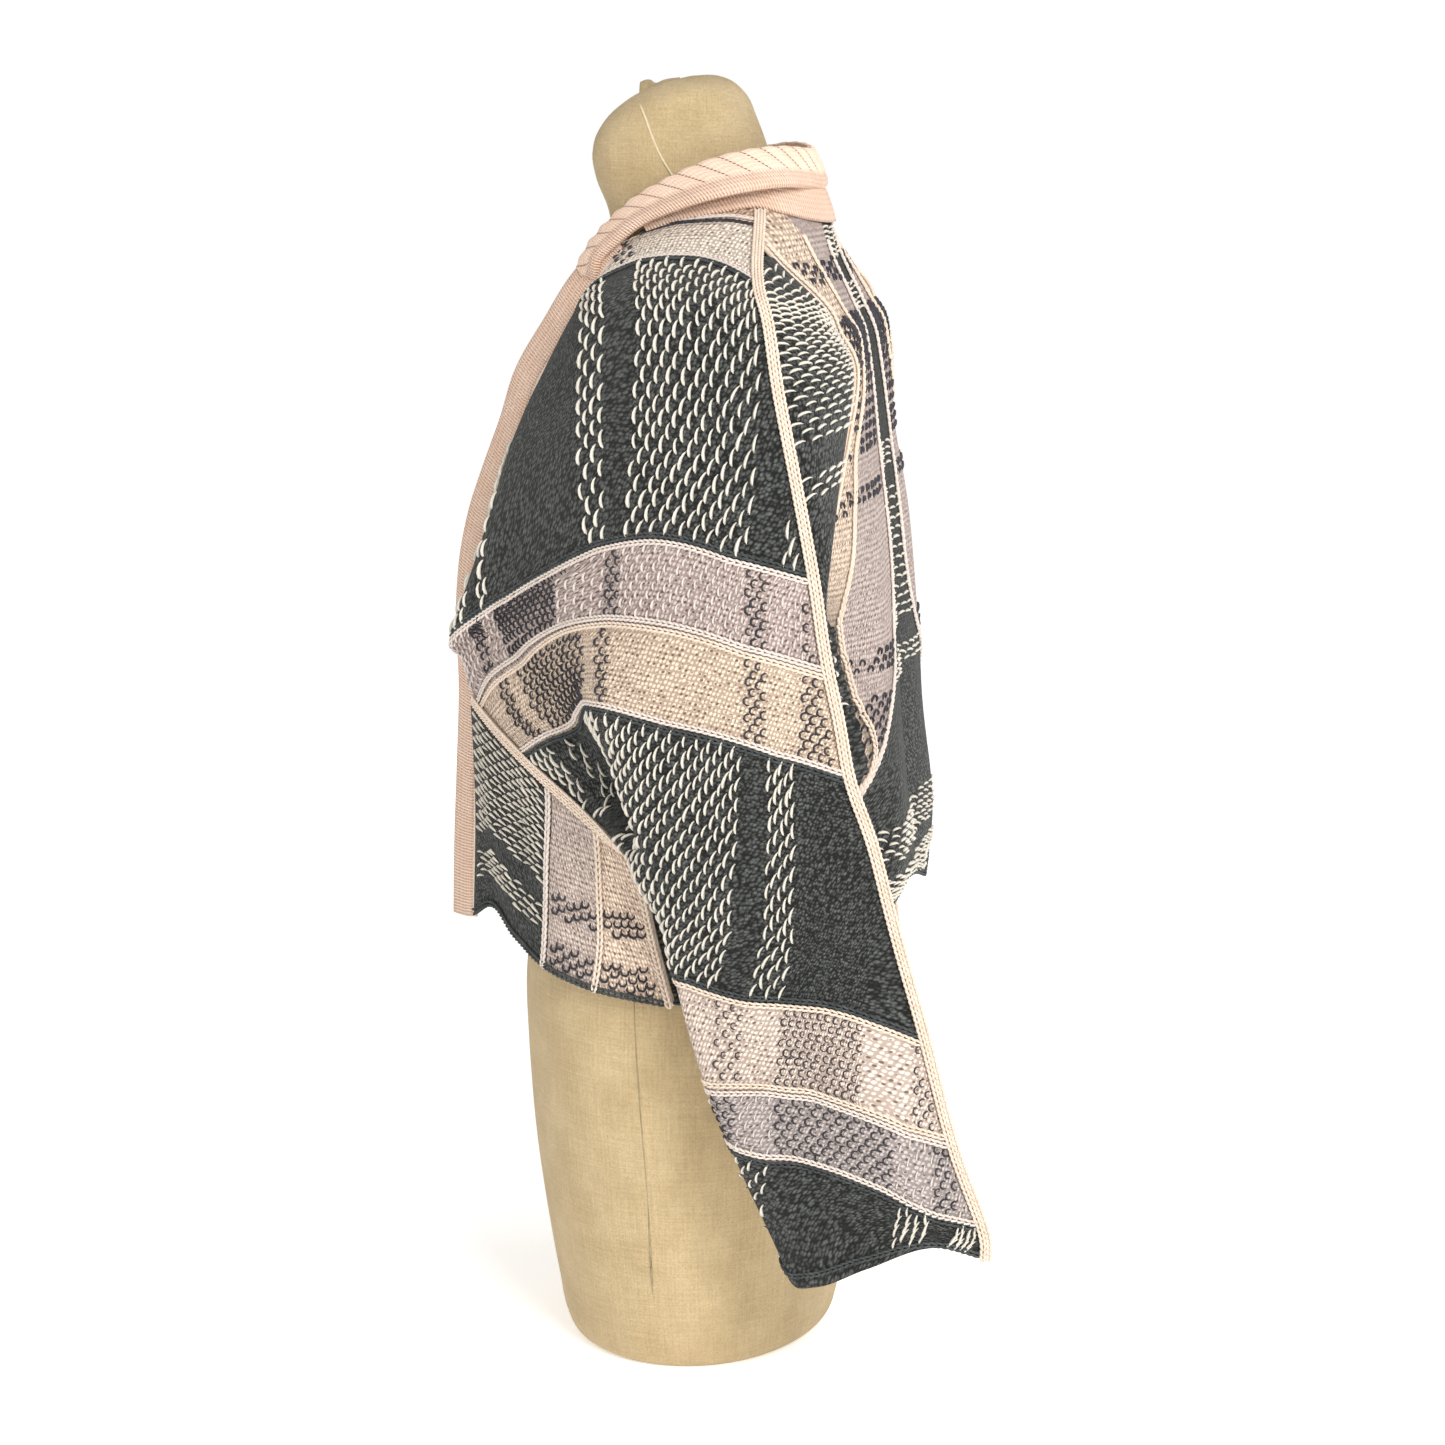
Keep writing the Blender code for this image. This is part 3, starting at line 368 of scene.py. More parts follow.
LOWER_CREASES = (
    ((0.10, 0.34), (0.90, 0.42), 14, -2.6), ((0.30, 0.62), (0.96, 0.60), 13, 2.4),
    ((0.15, 0.14), (0.80, 0.20), 12, 2.0),
)

# Stitches of a chain: shares along a leg, and its width there.
LEG_SHARES, LEG_WIDTHS = (0.0, 0.3, 0.7, 1.0), (0.5, 1.0, 0.95, 0.5)
# A float of yarn, drawn upright: places to the right and up, lift off the cloth and radius.
COMMA = (
    (1.9, 5.3, 0.1, 0.38), (0.75, 3.5, 0.9, 0.80), (0.0, 1.2, 1.3, 1.08), (-0.45, -1.6, 1.2, 1.22),
    (-0.35, -3.8, 0.6, 1.08), (0.1, -5.0, -0.1, 0.55),
)
ARC = (
    (1.9, 2.5, 0.0, 0.60), (0.1, 3.0, 0.7, 0.85), (-1.9, 1.7, 0.9, 0.95), (-2.1, -1.1, 0.9, 0.95),
    (-0.3, -2.8, 0.7, 0.85), (1.7, -2.6, 0.0, 0.60),
)
SHORT = (
    (1.2, 3.7, 0.1, 0.45), (0.45, 2.4, 0.9, 0.85), (-0.05, 0.7, 1.25, 1.05), (-0.3, -1.2, 1.2, 1.10),
    (-0.2, -2.6, 0.7, 0.95), (0.1, -3.5, -0.1, 0.45),
)
FLOAT_SHAPES = (COMMA, ARC, SHORT)
CREAM_FLOAT, DARK_FLOAT, LILAC_FLOAT = 0, 1, 2
# How uneven floats are: size, lean, place across and up, and thickness.
SIZE_VARIES, LEAN_VARIES, ACROSS_VARIES, RISE_VARIES, THICKNESS_VARIES = 0.06, 0.08, 0.25, 0.3, 0.05
# The raised seams: the panel beside each, where it starts, whether it hangs with the arm, and its
# lanes of stitches with their spread and radius.
TWO_LANES, ONE_LANE = ((-1.9, 1.9), 1.1, 0.95), ((0.0,), 1.7, 1.15)
SEAMS = (
    ("overarm_seam", "upper", 8.0, True, TWO_LANES), ("front_seam", "upper", 8.0, False, TWO_LANES),
    ("back_seam", "sleeve", 1.0, False, ONE_LANE), ("underarm_seam", "upper", 0.0, True, ONE_LANE),
    ("side_seam", "lower", 0.0, False, ONE_LANE),
)
# Their cord, how deep it lies, how high the stitches lie and how much lower the lanes beside the middle.
SEAM_CORD, SEAM_SUNK, SEAM_TOP, LANE_DROP = 2.4, 0.8, 1.1, 0.08
SEAM_STEP, SEAM_PITCH = 4, 3.6

# The ground colours. Low pink and low lilac are pink and lilac painted lighter, to lift the lower front,
# which gets less light.
COLOURS = {
    "dark": (0.054, 0.058, 0.055), "pink": (0.80, 0.645, 0.50), "pale": (0.92, 0.82, 0.70),
    "lilac": (0.60, 0.50, 0.455), "peach": (0.84, 0.63, 0.47), "low pink": (0.95, 0.76, 0.60),
    "low lilac": (0.70, 0.585, 0.515), "cool pink": (0.83, 0.70, 0.60), "cool lilac": (0.55, 0.49, 0.465),
}
# Each yarn's colour and tint, and its sheen.
YARNS = {
    "cream_yarn": ((0.80, 0.745, 0.64), (0.86, 0.80, 0.70), 0.15),
    "dark_yarn": ((0.045, 0.043, 0.052), (0.085, 0.082, 0.092), 0.03),
    "lilac_yarn": ((0.73, 0.64, 0.60), (0.81, 0.72, 0.68), 0.15),
    "pink_chain": ((0.81, 0.66, 0.53), (0.88, 0.74, 0.61), 0.15),
    "pale_chain": ((0.76, 0.66, 0.59), (0.82, 0.72, 0.65), 0.15),
    "slate_chain": ((0.052, 0.058, 0.058), (0.095, 0.103, 0.101), 0.03),
    "linen_seam": ((0.66, 0.56, 0.37), (0.74, 0.64, 0.45), 0.15),
    "linen_seam_shadow": ((0.30, 0.235, 0.135), (0.40, 0.32, 0.19), 0.15),
    "linen_flap": ((0.30, 0.225, 0.125), (0.40, 0.31, 0.18), 0.15),
}
RIB_COLOURS = ((0.87, 0.63, 0.48), (0.90, 0.68, 0.54))
LINEN_COLOURS = ((0.485, 0.36, 0.19), (0.585, 0.45, 0.255))
# The knit's stitches, in metres: width, height and how uneven they are.
BAR_STITCH, PIT_STITCH, KNOT_STITCH = (0.0024, 0.0033, 0.32), (0.0037, 0.0040, 0.30), (0.0023, 0.0025, 0.62)
# Painted shade that darkens the knit between its stitches, on light and on dark ground, and a painted
# highlight, a paler grey, on scattered knots of the dark ground.
PIT_SHADE_ON_LIGHT, PIT_SHADE_ON_DARK, KNOT_HIGHLIGHT = (0.22, 0.17, 0.16), (0.20, 0.19, 0.18), (0.118, 0.123, 0.115)
# How many millimetres of bands a colour ramp covers.
RAMP_SPAN = 800
# Fine rib: its pitch and stitch in metres, the dots in a groove, the painted shade in its hollows and
# grooves, and the map's values where there are no broad ribs.
FINE_RIB, RIB_STITCH, GROOVE_DOTS = 0.0021, 0.0031, 15
RIB_HOLLOW_SHADE, RIB_GROOVE_SHADE = (0.54, 0.38, 0.32), (0.36, 0.24, 0.20)
PLAIN_RIB = (0.0, 1.0)
# Linen: the form's radius and the threads' pitch in metres.
FORM_ROUND, THREAD_PITCH = 0.125, 0.0011

# The lamps, in metres: place, size and power. All are turned to one point.
LAMPS = (
    ("key", (1.9, 1.2, 1.7), 0.9, 48),
    ("fill", (2.2, -0.6, 0.9), 1.6, 6),
    ("back", (-1.0, 1.7, 1.8), 1.2, 12),
)
LAMPS_AT = (0, 0, 0.45)
WHITE, WARM_WHITE = (1.0, 1.0, 1.0, 1.0), (1.0, 0.985, 0.96, 1.0)
WORLD_STRENGTH, FLOOR_GLOW, FLOOR_REACH = 0.66, 0.4, 6
# The camera: its angles in degrees, the point it looks at and its distance in metres, and its lens.
CAMERA_TURN, CAMERA_LIFT, CAMERA_AT, CAMERA_AWAY = 100, 11, (0, 0.012, 0.408), 2.4
FOCAL_PIXELS, PHOTO_PIXELS, SENSOR = 3600, 1445, 36


def smooth(knots, values, at):
    """Read a smooth curve through values, one for each knot, at the given places."""
    knots = np.asarray(knots, float)
    values = np.asarray(values, float)
    steps = np.diff(knots)
    wide = steps.reshape((-1,) + (1,) * (values.ndim - 1))
    rates = np.diff(values, axis=0) / wide
    slopes = np.empty_like(values)
    slopes[0] = rates[0]
    slopes[-1] = rates[-1]
    slopes[1:-1] = (rates[:-1] * wide[1:] + rates[1:] * wide[:-1]) / (wide[1:] + wide[:-1])
    at = np.atleast_1d(np.asarray(at, float))
    span = np.clip(np.searchsorted(knots, at, side="right") - 1, 0, len(knots) - 2)
    share = ((at - knots[span]) / steps[span]).reshape((-1,) + (1,) * (values.ndim - 1))
    step = wide[span]
    return (
        values[span] * (1 + 2 * share) * (1 - share) ** 2
        + slopes[span] * step * share * (1 - share) ** 2
        + values[span + 1] * share**2 * (3 - 2 * share)
        + slopes[span + 1] * step * share**2 * (share - 1)
    )


def eased(value, low, high):
    """0 at low, 1 at high, and smooth between them; low may be above high."""
    share = np.clip((np.asarray(value, float) - low) / (high - low), 0, 1)
    return share * share * (3 - 2 * share)


def unit(vectors):
    """Vectors brought to a length of one."""
    return vectors / np.maximum(np.linalg.norm(vectors, axis=-1, keepdims=True), TINY)


def lengths_along(points):
    """Distance along a line of points to each of them."""
    return np.concatenate([[0.0], np.cumsum(np.linalg.norm(np.diff(points, axis=0), axis=1))])


def read_line(places, along, values):
    """Values known at distances along a line, read at other distances."""
    return np.stack([np.interp(places, along, values[:, axis]) for axis in range(3)], axis=1)


def curve_through(points, count):
    """A smooth line of count points through a few given ones, evenly spaced."""
    points = np.asarray(points, float)
    chords = lengths_along(points)
    fine = smooth(chords, points, np.linspace(0, chords[-1], 4 * count))
    along = lengths_along(fine)
    return smooth(along, fine, np.linspace(0, along[-1], count))


def closely(*lines):
    """Straight runs through lines of points, as closely spaced points."""
    points = np.concatenate(lines)
    along = lengths_along(points)
    return read_line(np.linspace(0, along[-1], int(along[-1] / FINE_STEP) + 1), along, points)


def first_clear(row, line, clear):
    """Where, in steps along a row, it has left the seam at its start by the wanted distance."""
    gaps = np.sqrt(((row[:, None] - line[None]) ** 2).sum(axis=2)).min(axis=1)
    nearest = int(gaps[: len(row) // 2].argmin())
    if gaps[nearest] >= clear:
        return 0.0
    past = nearest + int(np.argmax(gaps[nearest:] >= clear))
    return past - (gaps[past] - clear) / (gaps[past] - gaps[past - 1])


def trimmed(row, count, start=None, end=None, clear=SEAM_CLEAR):
    """A row cut back from the seams at its ends, as count evenly spaced points."""
    low = 0.0 if start is None else first_clear(row, start, clear)
    high = len(row) - 1.0
    if end is not None:
        high -= first_clear(row[::-1], end, clear)
    return smooth(np.arange(len(row)), row, np.linspace(low, high, count))


def right_side(points, sleeve=False):
    """The right side's points for the left side's: mirrored, and further forwards at the arm."""
    points = np.array(points, float)
    heights = points[..., 2] if sleeve else np.maximum(points[..., 2], UNDERARM_HEIGHT)
    forward = smooth([row[0] for row in ARM_FORWARD], [[row[1]] for row in ARM_FORWARD], heights.ravel())
    points[..., 1] -= forward.reshape(heights.shape) * eased(points[..., 0], *ARM_FORWARD_SPAN)
    points[..., 0] *= -1
    return points


def closer(points):
    """Cloth behind the form, drawn in towards it, most at the sides of the back and at mid height."""
    x, y, z = np.moveaxis(np.asarray(points, float), -1, 0)
    pull = CLOSER_MIDDLE + (CLOSER_SIDES - CLOSER_MIDDLE) * eased(abs(x), *CLOSER_OUT)
    pull = pull * eased(y, *CLOSER_BEHIND) * eased(z, *CLOSER_FROM) * eased(z, *CLOSER_TO)
    return np.stack([x, y - pull, z], axis=-1)


def placed(grid, right, sleeve=False):
    """A left panel's points on the left or the right side."""
    return closer(right_side(grid, sleeve) if right else grid)


def both_sides(points):
    """A line along the whole neck, from its left half."""
    points = np.asarray(points, float)
    return np.concatenate([right_side(points), points[-2::-1]])


def strip_rings(inner, outer, section):
    """Rings of a strip between two edge lines. The section gives each corner's share of the width
    and its height over the strip's middle."""
    rings = []
    for i in range(len(inner)):
        before, after = max(i - 1, 0), min(i + 1, len(inner) - 1)
        across = outer[i] - inner[i]
        along = inner[after] - inner[before] + outer[after] - outer[before]
        up = unit(np.cross(along, across))
        rings.append([inner[i] + across * share + up * height for share, height in section(i)])
    return np.array(rings)


def finely(first, last):
    """Evenly spaced distances from first to last."""
    return np.linspace(first, last, int(round((last - first) / CLOTH_STEP)) + 1)


def table_row(table, distance):
    """The points of a panel's table at one distance down the cloth."""
    return smooth(list(table), list(table.values()), distance)[0]


def seam_curve(table, column, first, last):
    """A seam line as a smooth run of points."""
    return smooth(list(table), list(table.values()), finely(first, last))[:, column]


def left_seams():
    """The seam lines of the left side, by name."""
    return {
        "shoulder": seam_curve(FRONT_UPPER, 6, 0, SHOULDER_ENDS),
        "overarm_seam": seam_curve(FRONT_UPPER, 6, 0, CUFF_AT),
        "front_seam": seam_curve(FRONT_UPPER, 0, FRONT_SEAM_AT, UNDERARM_AT),
        "underarm_seam": seam_curve(FRONT_UPPER, 0, UNDERARM_AT, CUFF_AT),
        "back_seam": seam_curve(SLEEVE_BACK, 4, SHOULDER_ENDS, UNDERARM_AT),
        "side_seam": curve_through(SIDE_SEAM, SIDE_SEAM_POINTS),
    }


def along_rows(grid):
    """Distance along each row of a grid to each of its points."""
    steps = np.linalg.norm(np.diff(grid, axis=1), axis=2)
    return np.concatenate([np.zeros((len(grid), 1)), np.cumsum(steps, axis=1)], axis=1)


def rise_from_hem(grid):
    """Height of each point above the hem, measured along the cloth."""
    down = along_rows(grid.transpose(1, 0, 2)).T
    return down[-1:] - down


def panel_rows(table, places, across, start, end, beside_band):
    """A panel's rows at the given distances, cut back from the seams at their ends."""
    band = closely(curve_through([row[1] for row in FRONT_BAND], BAND_EDGE_POINTS))
    rows = []
    for distance in places:
        row = curve_through(table_row(table, distance), FINE_ROW)
        if beside_band:
            row = trimmed(row, FINE_ROW, band, None, BAND_CLEAR)
        rows.append(trimmed(row, across, start, end))
    return np.array(rows)


def front_upper_panel(seams):
    """The front upper panel's points, with each one's distances down and across the cloth."""
    start = closely(seams["front_seam"], seams["underarm_seam"])
    end = closely(seams["overarm_seam"])
    places = finely(0, CUFF_AT)
    grid = panel_rows(FRONT_UPPER, places, UPPER_ACROSS, start, end, True)
    along = along_rows(grid)
    return grid, np.repeat(places[:, None], UPPER_ACROSS, axis=1), along - along[:, -1:]


def sleeve_back_panel(seams):
    """The sleeve back panel, with distances down the cloth and in from the inner seam."""
    start = closely(seams["overarm_seam"])
    end = closely(seams["back_seam"], seams["underarm_seam"])
    places = finely(SLEEVE_STARTS, CUFF_AT)
    grid = panel_rows(SLEEVE_BACK, places, SLEEVE_ACROSS, start, end, False)
    along = along_rows(grid)
    return grid, np.repeat(places[:, None], SLEEVE_ACROSS, axis=1), along[:, -1:] - along


def front_lower_panel(seams):
    """The front lower panel, with distances out from the band and up from the hem."""
    places = np.linspace(0, LOWER_REACH, LOWER_ROWS_BEFORE)
    rows = panel_rows(FRONT_LOWER, places, LOWER_ACROSS, None, closely(seams["side_seam"]), True)
    top = closely(seams["front_seam"])
    columns = [trimmed(rows[:, i], LOWER_ROWS_AFTER, top) for i in range(LOWER_ACROSS)]
    grid = np.array(columns).transpose(1, 0, 2)
    return grid, along_rows(grid), rise_from_hem(grid)


def back_edge(seams, place):
    """The point on the back panel's side edge at one place along it."""
    if place <= SHOULDER_ENDS:
        return table_row(FRONT_UPPER, place)[6]
    if place <= UNDERARM_AT:
        return table_row(SLEEVE_BACK, place)[4]
    share = (place - UNDERARM_AT) / (HEM_AT - UNDERARM_AT)
    return smooth(np.linspace(0, 1, len(seams["side_seam"])), seams["side_seam"], share)[0]


def back_panel(seams):
    """The left half of the back panel, with distances out from the centre."""
    seam = closely(seams["shoulder"], seams["back_seam"], seams["side_seam"])
    rows = []
    for place in finely(0, HEM_AT):
        inner = smooth([row[0] for row in BACK], [row[1:] for row in BACK], place)[0]
        row = curve_through(np.vstack([inner, back_edge(seams, place)]), FINE_ROW)
        rows.append(trimmed(row, BACK_HALF_ACROSS, None, seam))
    grid = np.array(rows)
    return grid, along_rows(grid)


def between(value, knots, out):
    """The value carried from one set of increasing knots to another, each in the last axis."""
    knots, out = np.broadcast_arrays(np.asarray(knots, float), np.asarray(out, float))
    result = out[..., 0] + np.minimum(value - knots[..., 0], 0)
    for k in range(knots.shape[-1] - 1):
        gap = np.maximum(knots[..., k + 1] - knots[..., k], 1e-6)
        result = result + np.clip((value - knots[..., k]) / gap, 0, 1) * (out[..., k + 1] - out[..., k])
    return result + np.maximum(value - knots[..., -1], 0)


def knots_at(table, place):
    """A table's columns, read at an array of places in its first column."""
    table = np.array(table, float)
    return np.stack([np.interp(place, table[:, 0], table[:, k]) for k in range(1, table.shape[1])], axis=-1)


def upper_place(u, v, widths):
    """Grid places (i, j) on the front upper panel of plaid coordinates (down, across)."""
    down = np.array(u, float)
    rows = len(widths)
    for _ in range(PLACE_ROUNDS):
        across = between(v, UPPER_STRIPES, knots_at(STRIPE_PLACES, down))
        i = down / CUFF_AT * (rows - 1)
        width = np.interp(i, np.arange(rows), widths)
        share = 1 + (across - knots_at(YARN_AT_SEAM, down)[..., 0]) / width
        down = between(u, UPPER_LINES, knots_at(LINE_PLACES, np.clip(share, 0, 1)))
    return down / CUFF_AT * (rows - 1), share * (UPPER_ACROSS - 1)


def back_bands(out, heights):
    """The back's band coordinate, with its three band edges at 100, 200 and 300."""
    table = np.array(BACK_EDGES, float)
    inside = np.clip(heights, table[0, 0], table[-1, 0])
    edges = smooth(table[:, 0], table[:, 1:], inside.ravel()).T.reshape(3, *heights.shape)
    knots = np.stack([np.zeros_like(out), *edges, np.full_like(out, 400.0)], axis=-1)
    knots = np.maximum.accumulate(knots + np.arange(5) * 1e-3, axis=-1)
    band = np.empty_like(out)
    for index in np.ndindex(out.shape):
        band[index] = np.interp(out[index], knots[index], (0, 100, 200, 300, 400))
    return band


def band_of(value, edges):
    """What the bands or stripes say that an array of distances falls in."""
    index = np.searchsorted([edge[0] for edge in edges], value, side="right") - 1
    return np.array([edge[1] for edge in edges])[np.clip(index, 0, len(edges) - 1)]


def grid_normals(grid, turned):
    """Unit outward normals at each point of a grid."""
    normal = unit(np.cross(np.gradient(grid, axis=0), np.gradient(grid, axis=1)))
    return -normal if turned else normal


def spots(grid, i, j):
    """Points of a grid between its rows and columns."""
    i = np.clip(i, 0, grid.shape[0] - 1.001)
    j = np.clip(j, 0, grid.shape[1] - 1.001)
    a, b = i.astype(int), j.astype(int)
    s, t = (i - a)[:, None], (j - b)[:, None]
    upper = grid[a, b] * (1 - t) + grid[a, b + 1] * t
    lower = grid[a + 1, b] * (1 - t) + grid[a + 1, b + 1] * t
    return upper * (1 - s) + lower * s


def pressed(grid, normals, creases):
    """The grid with creases: each from one (down, across) share to another, its width and its depth."""
    rows, columns = grid.shape[:2]
    moved = np.zeros((rows, columns))
    for (a, b), (c, d), width, depth in creases:
        share = np.linspace(0, 1, CREASE_POINTS)
        bow = CREASE_BOW * np.sin(math.pi * share)
        line = spots(grid, (a + (c - a) * share) * (rows - 1), (b + (d - b) * share + bow) * (columns - 1))
        gaps = np.full((rows, columns), np.inf)
        best = np.zeros((rows, columns))
        for k, point in enumerate(line):
            away = ((grid - point) ** 2).sum(axis=2)
            nearer = away < gaps
            gaps[nearer] = away[nearer]
            best[nearer] = share[k]
        moved += depth * np.exp(-gaps / width**2) * np.sin(math.pi * np.clip(best, 0.06, 0.94)) ** 0.7
    edge = np.minimum(np.arange(columns), np.arange(columns)[::-1])
    moved *= np.clip(edge / CREASE_FADE, 0, 1)[None]
    return grid + normals * moved[..., None]


def fill_map(mesh, name, pairs):
    """A map on a mesh, from one pair of values for each of its points."""
    corner = np.empty(len(mesh.loops), np.int32)
    mesh.loops.foreach_get("vertex_index", corner)
    mesh.uv_layers.new(name=name).data.foreach_set("uv", np.asarray(pairs, np.float32)[corner].ravel())


def piece(name, points, faces, material, solid=None, uvs=None, ribs=None, indices=None):
    """A smooth-shaded mesh from points in millimetres and the solid it stands for.
    Its maps are given in millimetres for the cloth, and in ribs and shares of the width for the ribs."""
    mesh = bpy.data.meshes.new(name)
    points = np.reshape(points, (-1, 3))
    mesh.from_pydata(points * MM, [], faces)
    for each in material if isinstance(material, list) else [material]:
        mesh.materials.append(each)
    if indices is not None:
        mesh.polygons.foreach_set("material_index", np.asarray(indices, np.int32))
    if uvs is not None:
        fill_map(mesh, "cloth", np.reshape(uvs, (-1, 2)) * MM)
    if ribs is not None:
        fill_map(mesh, "ribs", np.broadcast_to(np.reshape(ribs, (-1, 2)), (len(points), 2)))
    mesh.shade_smooth()
    obj = bpy.data.objects.new(name, mesh)
    bpy.context.scene.collection.objects.link(obj)
    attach(obj, "root")
    if solid:
        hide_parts(solid)
    return obj


def thicken(obj, thickness):
    """Turn a sheet into a thin shell with its wall on the inner side."""
    wall = obj.modifiers.new("wall", "SOLIDIFY")
    wall.thickness = thickness * MM
    wall.offset = -1.0


def grid_faces(rows, columns, turned=False, wrap=False):
    """The quads of a grid of points, as index rows."""
    i, j = np.meshgrid(np.arange(rows - 1), np.arange(columns if wrap else columns - 1), indexing="ij")
    above, below, after = i * columns, (i + 1) * columns, (j + 1) % columns
    corners = np.stack([above + j, below + j, below + after, above + after], axis=2).reshape(-1, 4)
    return corners[:, ::-1] if turned else corners


def rod_faces(rows, columns, turned=False, ends_turned=False):
    """The faces of a closed rod made of rings, with its two ends."""
    ends = [range(columns), range(rows * columns - 1, (rows - 1) * columns - 1, -1)]
    ends = [tuple(end)[::-1] if ends_turned else tuple(end) for end in ends]
    return [tuple(face) for face in grid_faces(rows, columns, turned, True)] + ends


def strokes(path, normals, radii, sides=3):
    """Lengths of yarn along paths of shape (count, rings, 3): points and faces."""
    count, rings = path.shape[:2]
    along = unit(np.gradient(path, axis=1))
    side = unit(np.cross(along, normals[:, None]))
    up = np.cross(side, along)
    turns = (np.arange(sides) + (0.25 if sides == 4 else 0.0)) * 2 * math.pi / sides
    points = [path + radii[..., None] * (up * math.cos(turn) + side * math.sin(turn)) for turn in turns]
    faces = []
    for ring in range(rings - 1):
        for k in range(sides):
            m = (k + 1) % sides
            low = ring * sides
            faces.append((low + k, low + m, low + sides + m, low + sides + k))
    shift = np.arange(count)[:, None, None] * rings * sides
    quads = (np.array(faces)[None] + shift).reshape(-1, 4)
    last = (rings - 1) * sides
    ends = np.array([range(sides - 1, -1, -1), range(last, last + sides)])
    ends = (ends[None] + shift).reshape(-1, sides)
    return np.stack(points, axis=2).reshape(-1, 3), quads.tolist() + ends.tolist()


def chain(lines, pitch, spread, radius, lift=0.6):
    """Chains of knit along lines of (points, normals): points and faces of their V-shaped stitches."""
    paths, tops = [], []
    for points, normals in lines:
        along = lengths_along(points)
        places = np.linspace(0, along[-1], max(int(along[-1] / pitch), 1) + 1)
        spine = read_line(places, along, points)
        top = unit(read_line(places, along, normals))[:-1]
        step = np.diff(spine, axis=0)
        side = unit(np.cross(step, top))
        for hand in (-1, 1):
            rings = []
            for share in LEG_SHARES:
                out = spread * (1 - share**1.6) + radius * 0.35
                rise = lift * 0.4 + (lift + radius * 0.4) * math.sin(math.pi * (0.15 + 0.7 * share))
                rings.append(spine[:-1] + step * (1.32 * share - 0.08) + side * out * hand + top * rise)
            paths.append(np.stack(rings, axis=1))
            tops.append(top)
    path = np.concatenate(paths)
    radii = np.tile(radius * np.array(LEG_WIDTHS), (len(path), 1))
    return strokes(path, np.concatenate(tops), radii, 4)


def tube(points, radius, sides=8):
    """A round cord along a line of points: points and faces."""
    along = unit(np.gradient(points, axis=0))
    up = np.array([0.0, 0.0, 1.0]) - along * along[:, 2:]
    weak = np.linalg.norm(up, axis=1) < 0.2
    up[weak] = np.array([1.0, 0.0, 0.0]) - along[weak] * along[weak, :1]
    up = unit(up)
    side = np.cross(along, up)
    turns = np.arange(sides) * 2 * math.pi / sides
    rings = np.stack([points + radius * (side * math.cos(t) + up * math.sin(t)) for t in turns], axis=1)
    return rings.reshape(-1, 3), rod_faces(len(points), sides)


def joined(*parts):
    """Several (points, faces) as one."""
    points, faces, shift = [], [], 0
    for part_points, part_faces in parts:
        points.append(part_points)
        faces += [tuple(int(k) + shift for k in face) for face in part_faces]
        shift += len(part_points)
    return np.concatenate(points), faces


def near_normals(points, panel):
    """The outward normals of the nearest points of a panel."""
    flat, normals = panel.grid.reshape(-1, 3), panel.normals.reshape(-1, 3)
    return np.array([normals[((flat - point) ** 2).sum(axis=1).argmin()] for point in points])


def kinds_of(bands, light, lilac=True):
    """Which float shows at each place, or -1 where the yarn is the ground's own colour."""
    dark_ground = bands == "dark"
    kind = np.full(len(bands), -1)
    kind[dark_ground & light] = CREAM_FLOAT
    kind[~dark_ground & ~light & (bands != "peach")] = DARK_FLOAT
    if lilac:
        kind[((bands == "lilac") | (bands == "cool lilac")) & light] = LILAC_FLOAT
    return kind


